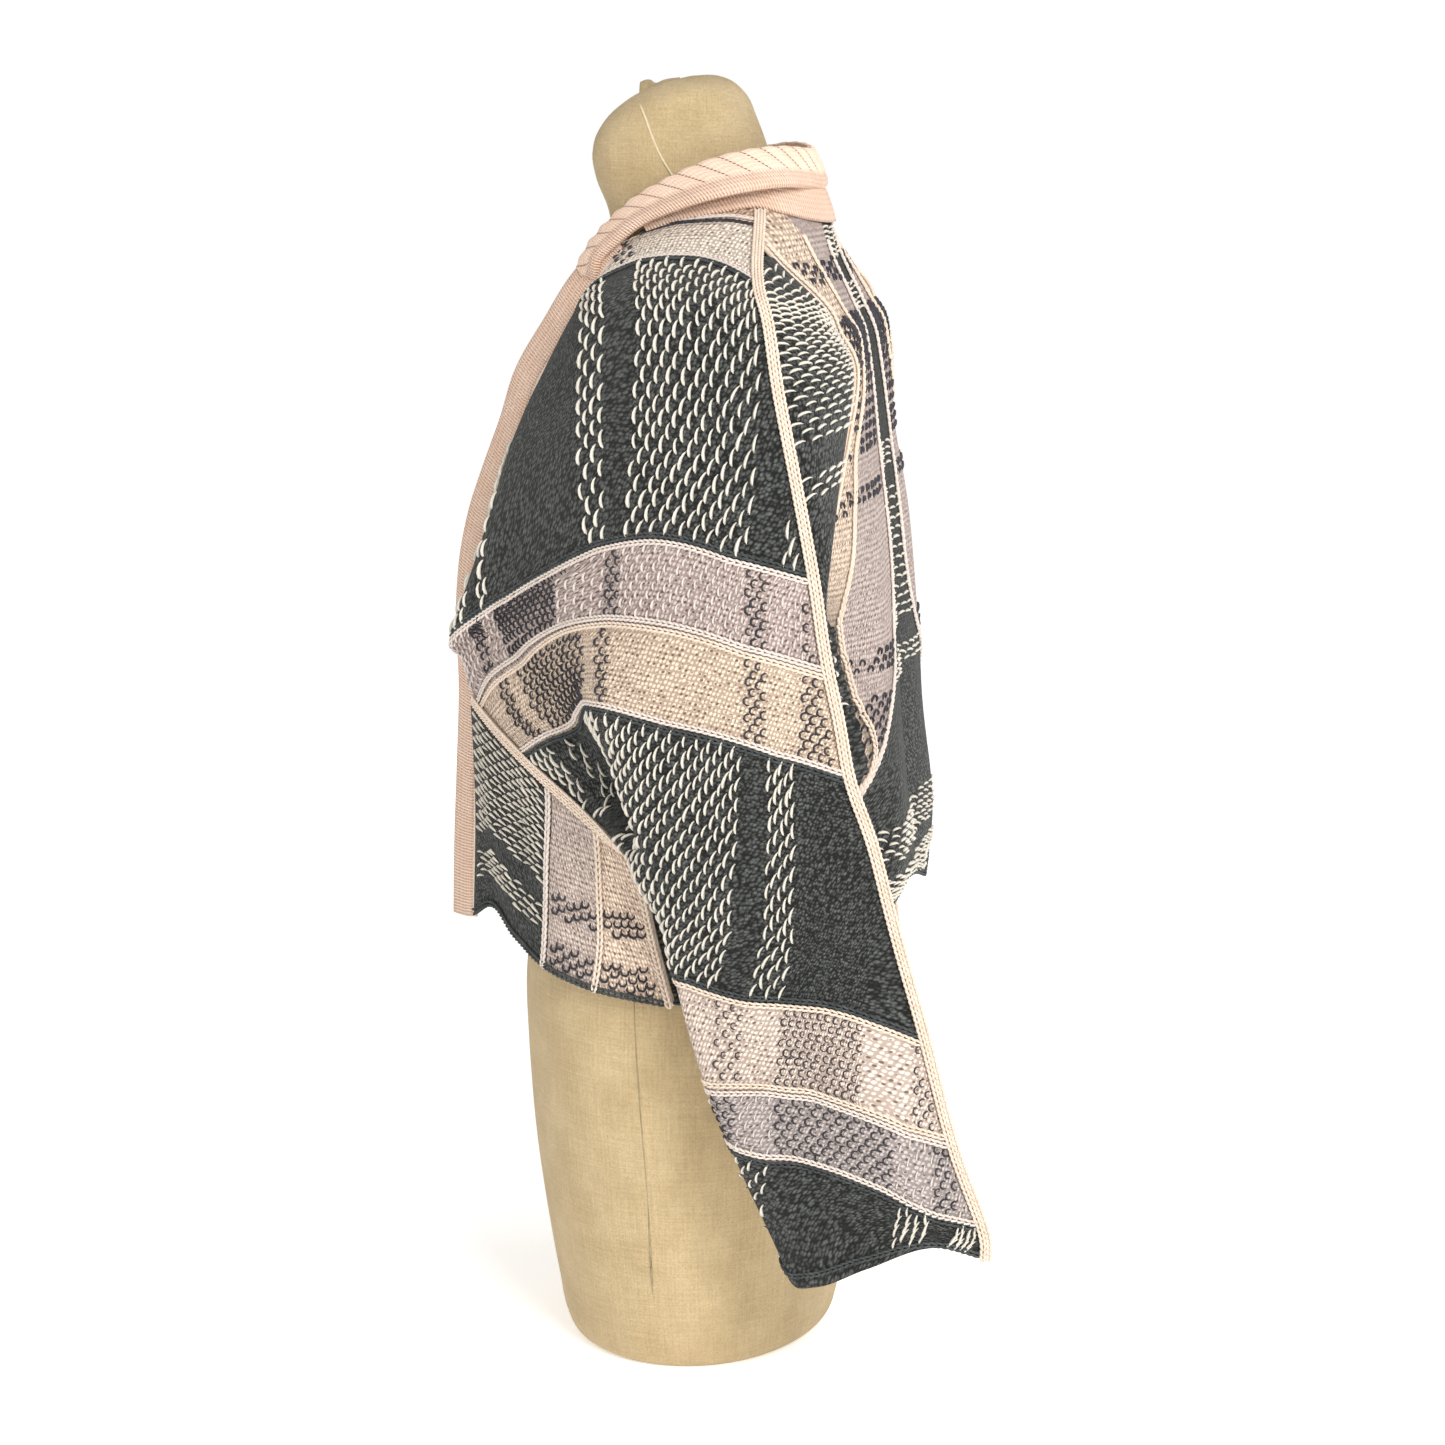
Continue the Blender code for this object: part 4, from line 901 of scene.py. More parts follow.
class Panel:
    """A creased panel of cloth, the places on it, and the pieces that go with it."""

    def __init__(self, grid, turned, creases, slot):
        self.grid = pressed(grid, grid_normals(grid, turned), creases)
        self.normals = grid_normals(self.grid, turned)
        self.rows, self.columns = grid.shape[:2]
        self.turned, self.slot, self.extras = turned, slot, []

    def cloth(self, name, solid, u, v, material):
        """The cloth itself, with its two plaid coordinates."""
        faces = grid_faces(self.rows, self.columns, self.turned)
        uvs = np.stack([u, v], axis=2)
        self.name = name
        self.obj = piece(name, self.grid, faces, material, solid, uvs)
        thicken(self.obj, KNIT_WALL)

    def read(self, values, i, j):
        """Values of the grid's points, at places between them."""
        return spots(values[..., None], i, j)[:, 0]

    def chain(self, name, places, yarn, pitch, spread, radius):
        """Chains of stitches along lines of grid places."""
        lines = [(spots(self.grid, i, j), spots(self.normals, i, j)) for i, j in places]
        points, faces = chain(lines, pitch, spread, radius)
        self.extras.append(piece(name, points, faces, yarn))

    def hem(self, name, yarn):
        """A chain along the hem."""
        columns = np.arange(self.columns, dtype=float)
        self.chain(name, [(np.full(self.columns, self.rows - HEM_IN), columns)], yarn, *HEM_CHAIN)

    def floats(self, name, centre, upward, rightward, kind, yarns, sizes, seed, turn_arcs=False, slim=1.0):
        """Yarn floats. centre, upward and rightward are (i, j) places on the grid."""
        keep = (kind >= 0) & (centre[0] > 1.5) & (centre[0] < self.rows - 2.5)
        keep &= (centre[1] > 0.8) & (centre[1] < self.columns - 1.8)
        kind = kind[keep]
        slim = np.broadcast_to(slim, keep.shape)[keep]
        base, above, beside = (spots(self.grid, i[keep], j[keep]) for i, j in (centre, upward, rightward))
        normal = unit(spots(self.normals, centre[0][keep], centre[1][keep]))
        up = above - base
        up = unit(up - normal * (up * normal).sum(axis=1, keepdims=True))
        right = np.cross(up, normal)
        right *= np.sign((right * (beside - base)).sum(axis=1, keepdims=True))
        rng = np.random.default_rng(seed)
        count = len(base)
        shape = np.array(FLOAT_SHAPES)[kind]
        if turn_arcs:
            shape[kind == DARK_FLOAT, :, 0] *= -1
        size = sizes[keep] * (1 + SIZE_VARIES * rng.standard_normal(count))
        lean = LEAN_VARIES * rng.standard_normal((count, 1))
        across = (shape[..., 0] + lean * shape[..., 1]) * size[:, None]
        across = across + ACROSS_VARIES * rng.standard_normal((count, 1))
        rise = shape[..., 1] * size[:, None] + RISE_VARIES * rng.standard_normal((count, 1))
        path = base[:, None] + across[..., None] * right[:, None] + rise[..., None] * up[:, None]
        path += (shape[..., 2] * size[:, None])[..., None] * normal[:, None]
        radii = shape[..., 3] * (slim * size * (1 + THICKNESS_VARIES * rng.standard_normal(count)))[:, None]
        points, faces = strokes(path, normal, radii)
        indices = np.concatenate([np.repeat(kind, 3 * (shape.shape[1] - 1)), np.repeat(kind, 2)])
        self.extras.append(piece(name, points, faces, yarns, indices=indices))

    def float_rows(self, name, rows, reach, widths, band, bands, along, stripes, yarns, seed, **looks):
        """Floats in staggered rows, clear of the lines between the bands."""
        i, j = [], []
        for k in range(int(reach / rows["step"])):
            row = (rows["first"] + rows["step"] * k) / reach * (self.rows - 1)
            width = np.interp(row, np.arange(self.rows), widths)
            for m in range(int(width / rows["pitch"]) + 1):
                i.append(row)
                j.append((rows["pitch"] * (m + 0.5 * (k % 2)) + rows["start"]) / width * (self.columns - 1))
        i, j = np.array(i), np.array(j)
        inside = (j > 1) & (j < self.columns - 2)
        i, j = i[inside], j[inside]
        place = self.read(band, i, j)
        edges = np.array([edge for edge, _ in bands[1:]])
        clear = np.abs(place[:, None] - edges).min(axis=1) > rows["clear"]
        i, j, place = i[clear], j[clear], place[clear]
        kind = kinds_of(band_of(place, bands), band_of(self.read(along, i, j), stripes) == 1, False)
        rise, over = rows["up"]
        sizes = np.full(len(i), rows["size"])
        self.floats(name, (i, j), (i + rise, j + over), (i + 0.5, j), kind, yarns, sizes, seed, **looks)


class Shader:
    """A material with short ways to add its nodes."""

    def __init__(self, name, roughness, sheen=0.0, specular=0.25):
        self.material = bpy.data.materials.new(name)
        self.material.use_nodes = True
        self.nodes = self.material.node_tree.nodes
        self.out = self.nodes["Principled BSDF"]
        self.out.inputs["Roughness"].default_value = roughness
        self.out.inputs["Metallic"].default_value = 0.0
        self.out.inputs["Specular IOR Level"].default_value = specular
        self.out.inputs["Sheen Weight"].default_value = sheen
        self.out.inputs["Sheen Roughness"].default_value = 0.55

    def put(self, socket, value):
        """Link a socket to another, or set its value; three numbers are a colour."""
        if hasattr(value, "is_linked"):
            self.material.node_tree.links.new(value, socket)
        else:
            socket.default_value = (*value, 1.0) if isinstance(value, tuple) else value

    def math(self, operation, a, b=0.0):
        node = self.nodes.new("ShaderNodeMath")
        node.operation = operation
        self.put(node.inputs[0], a)
        self.put(node.inputs[1], b)
        return node.outputs[0]

    def plus(self, a, b):
        return self.math("ADD", a, b)

    def less(self, a, b):
        return self.math("SUBTRACT", a, b)

    def times(self, a, b):
        return self.math("MULTIPLY", a, b)

    def rest(self, value):
        """What is missing to one."""
        return self.less(1.0, value)

    def ranged(self, value, start, span):
        """Start where the value is 0, and start and span together where it is 1."""
        return self.plus(start, self.times(value, span))

    def wave(self, value, length):
        return self.math("SINE", self.times(value, 2 * math.pi / length))

    def between(self, value, low, high):
        """0 below low, 1 above high, and smooth between them."""
        node = self.nodes.new("ShaderNodeMapRange")
        node.interpolation_type = "SMOOTHSTEP"
        self.put(node.inputs["Value"], value)
        node.inputs["From Min"].default_value = low
        node.inputs["From Max"].default_value = high
        return node.outputs["Result"]

    def mixed(self, share, a, b, blend="MIX"):
        node = self.nodes.new("ShaderNodeMix")
        node.data_type = "RGBA"
        node.blend_type = blend
        self.put(node.inputs["Factor"], share)
        self.put(node.inputs[6], a)
        self.put(node.inputs[7], b)
        return node.outputs[2]

    def dyed(self, colour, by):
        """A colour multiplied by another one, or by a grey value."""
        return self.mixed(1.0, colour, by if isinstance(by, tuple) else self.grey(by), "MULTIPLY")

    def noise(self, vector, scale, detail=2.0, roughness=0.5):
        node = self.nodes.new("ShaderNodeTexNoise")
        node.inputs["Scale"].default_value = scale
        node.inputs["Detail"].default_value = detail
        node.inputs["Roughness"].default_value = roughness
        self.put(node.inputs["Vector"], vector)
        return node.outputs["Fac"]

    def place(self):
        return self.nodes.new("ShaderNodeTexCoord").outputs["Object"]

    def apart(self, value, kind="XYZ"):
        node = self.nodes.new(f"ShaderNodeSeparate{kind}")
        self.put(node.inputs[0], value)
        return node.outputs

    def map(self, name):
        """The two values of one of the cloth's maps."""
        node = self.nodes.new("ShaderNodeUVMap")
        node.uv_map = name
        return self.apart(node.outputs["UV"])[:2]

    def joined(self, x, y, z=0.0):
        node = self.nodes.new("ShaderNodeCombineXYZ")
        for socket, value in zip(node.inputs, (x, y, z)):
            self.put(socket, value)
        return node.outputs[0]

    def grey(self, value):
        return self.joined(value, value, value)

    def stitches(self, across, down, wide, tall, shuffle):
        """Distance from the middle of the nearest stitch, in half-drop rows of stitches."""
        node = self.nodes.new("ShaderNodeTexVoronoi")
        node.inputs["Scale"].default_value = 1.0
        node.inputs["Randomness"].default_value = shuffle
        across, down = self.times(across, 1.0 / wide), self.times(down, 1.0 / tall)
        self.put(node.inputs["Vector"], self.joined(self.plus(across, self.times(down, 0.5)), down))
        return node.outputs["Distance"]

    def finish(self, colour, height=None, depth=0.0, strength=1.0):
        """The material, with its colour and with the relief of a height."""
        self.put(self.out.inputs["Base Color"], colour)
        if height is not None:
            node = self.nodes.new("ShaderNodeBump")
            node.inputs["Strength"].default_value = strength
            node.inputs["Distance"].default_value = depth
            self.put(node.inputs["Height"], height)
            self.put(self.out.inputs["Normal"], node.outputs["Normal"])
        return self.material


def plaid_ramp(s, bands, place):
    """The ground colour of the bands along a coordinate."""
    node = s.nodes.new("ShaderNodeValToRGB")
    node.color_ramp.interpolation = "CONSTANT"
    stops = node.color_ramp.elements
    while len(stops) > 1:
        stops.remove(stops[-1])
    for k, (start, colour) in enumerate(bands):
        stop = stops[0] if k == 0 else stops.new(start / RAMP_SPAN)
        stop.position = start / RAMP_SPAN
        stop.color = (*COLOURS[colour], 1.0)
    s.put(node.inputs["Fac"], s.times(place, 1.0 / (RAMP_SPAN * MM)))
    return node.outputs["Color"]


def plaid_material(name, bands, upright=False):
    """Knit whose ground colour changes along the cloth map's first value. The light grounds show bars with
    pits between them, and the dark one small knots.
    Painted shade darkens the ground between the stitch tops, and a painted highlight lightens scattered knots
    of the dark ground."""
    s = Shader(name, 0.93, sheen=0.10, specular=0.12)
    u, v = s.map("cloth")
    where = s.place()
    wobble = s.times(s.less(s.noise(where, 260.0, 1.0), 0.5), 0.0022)
    ground = plaid_ramp(s, bands, s.plus(u, wobble))
    light = s.between(s.apart(ground, "Color")[0], 0.15, 0.3)
    down, across = (u, v) if upright else (v, u)
    bars = s.rest(s.between(s.stitches(across, down, *BAR_STITCH), 0.27, 0.55))
    pits = s.rest(s.between(s.stitches(across, down, *PIT_STITCH), 0.15, 0.30))
    knots = s.rest(s.between(s.stitches(across, down, *KNOT_STITCH), 0.26, 0.70))
    fibre = s.noise(where, 1500.0, 3.0, 0.65)
    mottled = s.noise(where, 90.0, 3.0, 0.6)
    blotch = s.noise(where, 420.0, 2.0, 0.7)
    light_top = s.times(s.ranged(bars, 0.38, 0.62), s.rest(pits))
    top = s.mixed(light, s.grey(knots), s.grey(light_top))
    shade = s.times(s.ranged(mottled, 0.80, 0.38), s.ranged(fibre, 0.80, 0.40))
    # Painted highlight: a paler grey on scattered knot tops of the dark ground, placed by noise.
    knot_highlight = s.times(s.between(blotch, 0.36, 0.68), s.rest(light))
    lit = s.mixed(knot_highlight, s.dyed(ground, shade), KNOT_HIGHLIGHT)
    # Painted shade: the ground darkened where the stitch tops fall away, in the pits and between the knots.
    pit_shade = s.mixed(light, s.dyed(ground, PIT_SHADE_ON_DARK), s.dyed(ground, PIT_SHADE_ON_LIGHT))
    return s.finish(s.mixed(top, pit_shade, lit), s.plus(top, s.times(fibre, 0.22)), 0.0011, 0.85)


def yarn_material(name, colour, tint, sheen):
    """Soft spun yarn: a little uneven in colour, with loose fibres."""
    s = Shader(name, 0.9, sheen=sheen, specular=0.15)
    where = s.place()
    fibre = s.noise(where, 2200.0, 3.0, 0.7)
    base = s.mixed(s.between(s.noise(where, 140.0, 2.0, 0.6), 0.3, 0.75), colour, tint)
    return s.finish(s.dyed(base, s.ranged(fibre, 0.74, 0.5)), fibre, 0.0005, 0.8)


def rib_material(name, colour, tint):
    """Fine rib knit. The cloth map's first value runs along the strip and its second across it. The
    ribs map counts the broad ribs and the share of the way across, and draws the grooves between them.
    Painted shade, warm-tinted, darkens the hollows between the fine ribs and the grooves."""
    s = Shader(name, 0.93, sheen=0.08, specular=0.12)
    u, v = s.map("cloth")
    broad, share = s.map("ribs")
    where = s.place()
    drift = s.times(s.less(s.noise(where, 120.0, 1.0), 0.5), 0.0012)
    rib = s.ranged(s.wave(s.plus(u, drift), FINE_RIB), 0.5, 0.5)
    stitch = s.ranged(s.wave(v, RIB_STITCH), 0.5, 0.5)
    fibre = s.noise(where, 1500.0, 3.0, 0.65)
    face = s.times(s.between(share, 0.02, 0.06), s.rest(s.between(share, 0.60, 0.72)))
    plain = s.rest(s.times(face, 0.75))
    across = s.math("ABSOLUTE", s.less(s.math("FRACT", broad), 0.5))
    line = s.rest(s.between(across, 0.022, 0.060))
    dots = s.between(s.wave(share, 1 / GROOVE_DOTS), -0.5, 0.3)
    groove = s.times(s.times(line, s.ranged(dots, 0.12, 0.88)), face)
    height = s.plus(s.times(rib, plain), s.times(stitch, 0.35))
    height = s.less(s.plus(height, s.times(fibre, 0.25)), s.times(groove, 1.6))
    # Painted shade: where the hollows between the fine ribs lie, for a darker, warm-tinted colour.
    low = s.times(s.rest(s.between(rib, 0.05, 0.55)), plain)
    hollow_shade = s.times(low, s.ranged(stitch, 0.45, 0.55))
    base = s.mixed(s.between(s.noise(where, 60.0), 0.3, 0.7), colour, tint)
    lit = s.dyed(base, s.ranged(fibre, 0.82, 0.34))
    # Painted shade, warm-tinted: darker colour in the rib hollows, then in the dotted grooves.
    shown = s.mixed(s.times(hollow_shade, 0.8), lit, s.dyed(base, RIB_HOLLOW_SHADE))
    return s.finish(s.mixed(groove, shown, s.dyed(base, RIB_GROOVE_SHADE)), height, 0.0010, 0.9)


def linen_material(name, colour, tint):
    """Coarse tan linen: crossed threads of uneven thickness, faintly heathered."""
    s = Shader(name, 0.88, sheen=0.12)
    where = s.place()
    x, y, z = s.apart(where)
    round_it = s.times(s.math("ARCTAN2", y, x), FORM_ROUND)
    slub = s.noise(s.joined(s.times(round_it, 30.0), s.times(z, 900.0)), 1.0)
    slub_up = s.noise(s.joined(s.times(round_it, 900.0), s.times(z, 30.0), 3.0), 1.0)
    weave = s.times(s.wave(z, THREAD_PITCH), s.wave(round_it, THREAD_PITCH))
    speck = s.noise(where, 700.0, 2.0, 0.6)
    base = s.mixed(s.between(s.noise(where, 34.0, 4.0, 0.6), 0.2, 0.8), colour, tint)
    threads = s.plus(s.times(slub, 0.5), s.times(slub_up, 0.5))
    shade = s.times(s.ranged(threads, 0.62, 0.68), s.ranged(speck, 0.70, 0.58))
    return s.finish(s.dyed(base, shade), s.plus(s.times(weave, 0.35), threads), 0.0005, 0.7)


def materials():
    """Every material of the garment and the form, by its name."""
    looks = {name: yarn_material(name, *values) for name, values in YARNS.items()}
    looks["floats"] = [looks["cream_yarn"], looks["dark_yarn"], looks["lilac_yarn"]]
    looks["upper_knit"] = plaid_material("upper_knit", UPPER_BANDS, True)
    looks["sleeve_knit"] = plaid_material("sleeve_knit", SLEEVE_BANDS)
    looks["lower_knit"] = plaid_material("lower_knit", LOWER_BANDS)
    looks["back_knit"] = plaid_material("back_knit", BACK_BANDS)
    looks["collar_rib"] = rib_material("collar_rib", *RIB_COLOURS)
    looks["linen"] = linen_material("tan_linen_weave", *LINEN_COLOURS)
    return looks


def upper_floats(panel, name, widths, yarns, seed):
    """The floats of the front upper panel, laid out in its plaid's own coordinates."""
    places = []
    for first, last, half_pitch, step, size, slim in FLOAT_SPACING:
        count = int((last - first - FLOAT_MARGIN) / step) + 1
        start = first + (last - first - (count - 1) * step) / 2
        for k in range(count):
            for m in range(int(FLOATS_FROM / half_pitch), int(FLOATS_TO / half_pitch)):
                if (m + k) % 2 == 0:
                    places.append((start + k * step, m * half_pitch, size, slim))
    us, vs, sizes, slims = np.array(places).T
    i, j = upper_place(us, vs, widths)
    inside = (j > 1.0) & (j < panel.columns - 2.0) & (i > 2) & (i < panel.rows - 3)
    us, vs, sizes, slims = (each[inside] for each in (us, vs, sizes, slims))
    kind = kinds_of(band_of(us, UPPER_BANDS), band_of(vs, UPPER_YARN) == 1)
    for first, last, start, end in PLAIN_PARTS:
        kind[(us > first) & (us < last) & (vs > start) & (vs < end)] = -1
    centre, upward, rightward = (
        upper_place(us + down, vs + across, widths) for down, across in ((0, 0), (-2.5, 0), (0, 2.5))
    )
    panel.floats(name, centre, upward, rightward, kind, yarns, sizes, seed, slim=slims)


def upper_chains(panel, side, looks):
    """Chains of stitches along each line across the front upper panel, and one along its cuff."""
    shares = np.linspace(0, 1, CHAIN_POINTS)
    lines = knots_at(LINE_PLACES, shares)
    for place, *yarns in UPPER_CHAINS:
        down = np.full(CHAIN_POINTS, CUFF_CHAIN_AT)
        if place in UPPER_LINES:
            down = lines[:, UPPER_LINES.index(place)]
        for letter, offset, yarn in zip("ab", (-CHAIN_APART, CHAIN_APART), yarns):
            shown = down + offset > 2.5
            i = (down + offset)[shown] / CUFF_AT * (panel.rows - 1)
            j = shares[shown] * (panel.columns - 1)
            sizes = DARK_CHAIN if yarn == "dark_yarn" else FINE_CHAIN
            panel.chain(f"front_upper_chain_{place}_{letter}_{side}", [(i, j)], looks[yarn], *sizes)


def front_upper(side, right, shape, looks):
    """The front upper panel, with its floats and chains."""
    grid, down, inwards = shape
    panel = Panel(placed(grid, right, True), right, UPPER_CREASES, f"plaid_knit_{side}")
    shares = np.linspace(0, 1, panel.columns)[None].repeat(panel.rows, axis=0)
    across = knots_at(YARN_AT_SEAM, down)[..., 0] + inwards
    u = between(down, knots_at(LINE_PLACES, shares), UPPER_LINES)
    v = between(across, knots_at(STRIPE_PLACES, down), UPPER_STRIPES)
    panel.cloth(f"front_upper_cloth_{side}", f"front_upper_{side}", u, v, looks["upper_knit"])
    upper_floats(panel, f"front_upper_floats_{side}", -inwards[:, 0], looks["floats"], 11 + right)
    upper_chains(panel, side, looks)
    return panel


def sleeve_back(side, right, shape, looks):
    """The sleeve back, with its floats."""
    grid, down, inwards = shape
    panel = Panel(placed(grid, right, True), right, SLEEVE_CREASES, f"plaid_knit_{side}")
    band = 100 + inwards - knots_at(SLEEVE_EDGE, down)[..., 0]
    panel.cloth(f"sleeve_back_cloth_{side}", f"sleeve_back_{side}", band, down, looks["sleeve_knit"])
    panel.float_rows(f"sleeve_back_floats_{side}", SLEEVE_ROWS, CUFF_AT - SLEEVE_STARTS, inwards[:, 0], band,
                     SLEEVE_BANDS, down, SLEEVE_YARN, looks["floats"], 21 + right)
    return panel


def front_lower(side, right, shape, looks):
    """The front lower panel, with its floats, chains and hem."""
    grid, out, rise = shape
    panel = Panel(placed(grid, right), right, LOWER_CREASES, f"plaid_knit_{side}")
    panel.cloth(f"front_lower_cloth_{side}", f"front_lower_{side}", out, rise, looks["lower_knit"])
    panel.float_rows(f"front_lower_floats_{side}", LOWER_ROWS, LOWER_REACH, out[:, -1], out,
                     LOWER_BANDS, rise, LOWER_YARN, looks["floats"], 31 + right, turn_arcs=True, slim=0.98)
    rows = np.arange(panel.rows, dtype=float)
    for (place, _), yarn in zip(LOWER_BANDS[1:], ("pale_chain", "pink_chain")):
        columns = np.array([np.interp(place, row, np.arange(panel.columns)) for row in out])
        name = f"front_lower_chain_{place}_{side}"
        panel.chain(name, [(rows, columns)], looks[yarn], *WIDE_CHAIN)
    panel.hem(f"front_lower_hem_{side}", looks["slate_chain"])
    return panel


def back_chain(panel, band, place):
    """Where a chain follows one band edge on both halves of the back."""
    middle = (panel.columns - 1) // 2
    below_neck = (band[:, -1] > place + 4) & (panel.grid[:, middle, 2] < BACK_CHAIN_TOP)
    rows = np.array([r for r in range(6, panel.rows - 2) if below_neck[r]])
    lines = []
    for hand in (-1, 1):
        half = band[:, middle:] if hand > 0 else band[:, middle::-1]
        out = np.array([np.interp(place, half[r], np.arange(middle + 1)) for r in rows])
        lines.append((rows.astype(float), middle + hand * out))
    return lines


def back(shape, looks):
    """The back, from both halves, with its floats, chains and hem."""
    half, half_out = shape
    whole = closer(np.concatenate([right_side(half)[:, :0:-1], half], axis=1))
    panel = Panel(whole, True, BACK_CREASES, "plaid_knit_back")
    heights = panel.grid[..., 2]
    band = back_bands(np.concatenate([half_out[:, :0:-1], half_out], axis=1), heights)
    rise = heights - BACK_HEM_HEIGHT
    panel.cloth("back_cloth", "back", band, rise + BACK_MAP_START, looks["back_knit"])
    panel.float_rows("back_floats", BACK_ROWS, BACK_REACH, 2 * half_out[:, -1], band,
                     BACK_BANDS, rise, BACK_YARN, looks["floats"], 41)
    for place, yarn in ((100, "pale_chain"), (200, "pink_chain")):
        panel.chain(f"back_chain_{place}", back_chain(panel, band, place), looks[yarn], *WIDE_CHAIN)
    panel.hem("back_hem", looks["slate_chain"])
    return panel


def seam_braids(side, right, seams, panels, looks):
    """The raised seams: each a cord with one or two chains of stitches on it."""
    for seam, beside, start, with_arm, (lanes, spread, radius) in SEAMS:
        line = placed(seams[seam], right, with_arm)
        along = lengths_along(line)
        spine = read_line(np.linspace(start, along[-1], int(along[-1] / SEAM_STEP) + 2), along, line)
        outward = near_normals(spine, panels[beside])
        outward = unit(np.array([outward[max(k - 3, 0) : k + 4].mean(axis=0) for k in range(len(outward))]))
        sideways = unit(np.cross(np.gradient(spine, axis=0), outward))
        tops = []
        for lane in lanes:
            tops.append((spine + outward * (SEAM_TOP - LANE_DROP * lane**2) + sideways * lane, outward))
        core = tube(spine - outward * SEAM_SUNK, SEAM_CORD)
        points, faces = joined(core, chain(tops, SEAM_PITCH, spread, radius))
        piece(f"{seam}_braid_{side}", points, faces, looks["pink_chain"],
              f"{seam}_{side}")


def front_band(side, right, upper, looks):
    """The front band, a rolled strip of fine rib, and the linking seam along its outer edge."""
    path = BAND_UNDER_COLLAR + FRONT_BAND
    inner, outer = (curve_through([row[k] for row in path], BAND_STATIONS) for k in range(2))
    turns = np.arange(BAND_AROUND) / BAND_AROUND
    c, s = np.cos(2 * math.pi * turns), np.sin(2 * math.pi * turns)
    shares = 0.5 - 0.5 * np.sign(c) * abs(c) ** BAND_ROUND[0]
    heights = 0.5 * BAND_THICK * np.sign(s) * abs(s) ** BAND_ROUND[1]
    outline = list(zip(shares, heights))
    rings = placed(strip_rings(inner, outer, lambda _: outline), right)
    uvs = np.stack(np.broadcast_arrays(lengths_along(rings[:, 0])[:, None], turns * BAND_GIRTH), axis=2)
    band = piece(f"front_band_rib_{side}", rings, rod_faces(BAND_STATIONS, BAND_AROUND, right),
                 looks["collar_rib"], f"front_band_{side}", uvs, PLAIN_RIB)
    edge = placed(outer, right)
    points, faces = tube(edge - near_normals(edge, upper) * JOIN_SUNK, JOIN_CORD)
    join = piece(f"front_band_join_{side}", points, faces, looks["pink_chain"])


def fall_outline(along):
    """The collar fall's outline at a distance along it: shares of its width, and heights."""

    def half_thick(share):
        thick = FALL_THICK_AT_NECK + (FALL_THICK_AT_FOLD - FALL_THICK_AT_NECK) * share
        return thick / 2 * (1 - (2 * share - 1) ** 6) ** 0.5

    corners = []
    for share in FALL_TOP_SHARES:
        turn = 2 * math.pi * (along + RIB_SLANT * share) / RIB_PITCH
        fade = min(max((RIBS_TO - share) / 0.12, 0), 1) * min(share / RIBS_FROM, 1)
        corners.append((share, half_thick(share) + RIB_HEIGHT * (0.45 + 0.55 * math.cos(turn)) * fade))
    corners.append((1.0, 0.0))
    return corners + [(share, -half_thick(share)) for share in FALL_UNDER_SHARES]


def collar_fall(neck, fold, looks):
    """The collar's rolled fall, with its slanted broad ribs."""
    length = 2 * lengths_along(curve_through(fold, FINE_ROW))[-1]
    run = np.linspace(0, length, FALL_STATIONS)
    edges = [curve_through(both_sides(line), FALL_STATIONS) for line in (neck, fold)]
    rings = strip_rings(*edges, lambda index: fall_outline(run[index]))
    around = rings.shape[1]
    uvs = np.stack(np.broadcast_arrays(run[:, None], lengths_along(rings[FALL_STATIONS // 2])), axis=2)
    shares = np.array([share for share, _ in fall_outline(0)])
    shown = np.where(np.arange(around) <= len(FALL_TOP_SHARES), shares, 1.0)
    ribs = np.stack(np.broadcast_arrays((run[:, None] + RIB_SLANT * shares) / RIB_PITCH, shown), axis=2)
    faces = rod_faces(FALL_STATIONS, around, True, True)
    return piece("collar_fall", rings, faces, looks["collar_rib"], "collar", uvs, ribs)


def collar_stand(neck, fold, upper_top, back_top, looks):
    """The stand under the fall, a little rounded."""
    neckline = closer(both_sides(np.concatenate([upper_top[STAND_ON_FRONT], back_top[STAND_ON_BACK]])))
    inward = unit((neck - fold)[STAND_FROM:] * (1, 1, 0))
    under = neck[STAND_FROM:] + inward * STAND_INSIDE - (0, 0, STAND_UNDER)
    low, high = curve_through(neckline, STAND_STATIONS), curve_through(both_sides(under), STAND_STATIONS)
    outward = unit(np.cross(np.gradient(low, axis=0), high - low))
    outward *= np.sign((outward * low)[:, :2].sum(axis=1, keepdims=True))
    steps = np.linspace(0, 1, STAND_RISES)
    rings = []
    for t in steps:
        bulge = STAND_BULGE * math.sin(math.pi * t) ** 0.8 + STAND_OUT
        rings.append(low + (high - low) * (t * (1 + STAND_BELOW) - STAND_BELOW) + outward * bulge)
    rise = np.linalg.norm(high - low, axis=1)[:, None] * steps
    uvs = np.stack(np.broadcast_arrays(lengths_along(low)[:, None], rise), axis=2)
    faces = grid_faces(STAND_STATIONS, STAND_RISES)
    stand = piece("collar_stand_rib", np.stack(rings, axis=1), faces, looks["collar_rib"],
                  "collar_stand", uvs, PLAIN_RIB)
    thicken(stand, STAND_WALL)
    return stand


def collar(upper_top, back_top, looks):
    """The collar: its fall and its stand."""
    neck, fold = (np.array([row[k] for row in COLLAR], float) for k in range(2))
    fold[-len(FALL_NEARER):] += FALL_NEARER
    fall = collar_fall(neck, fold, looks)
    stand = collar_stand(neck, fold, upper_top, back_top, looks)


def form_points(height, half, front, rear, dip, turns):
    """Points round the dress form at one section."""
    c, s = np.cos(turns), np.sin(turns)
    reach = (abs(c) ** FORM_SQUARENESS + abs(s) ** FORM_SQUARENESS) ** (-1 / FORM_SQUARENESS)
    y = (rear - front) / 2 * reach * s
    back, down = (front + rear) / 2 + y * math.cos(math.radians(dip)), y * math.sin(math.radians(dip))
    return np.stack([half * reach * c, back, height - down], axis=-1)


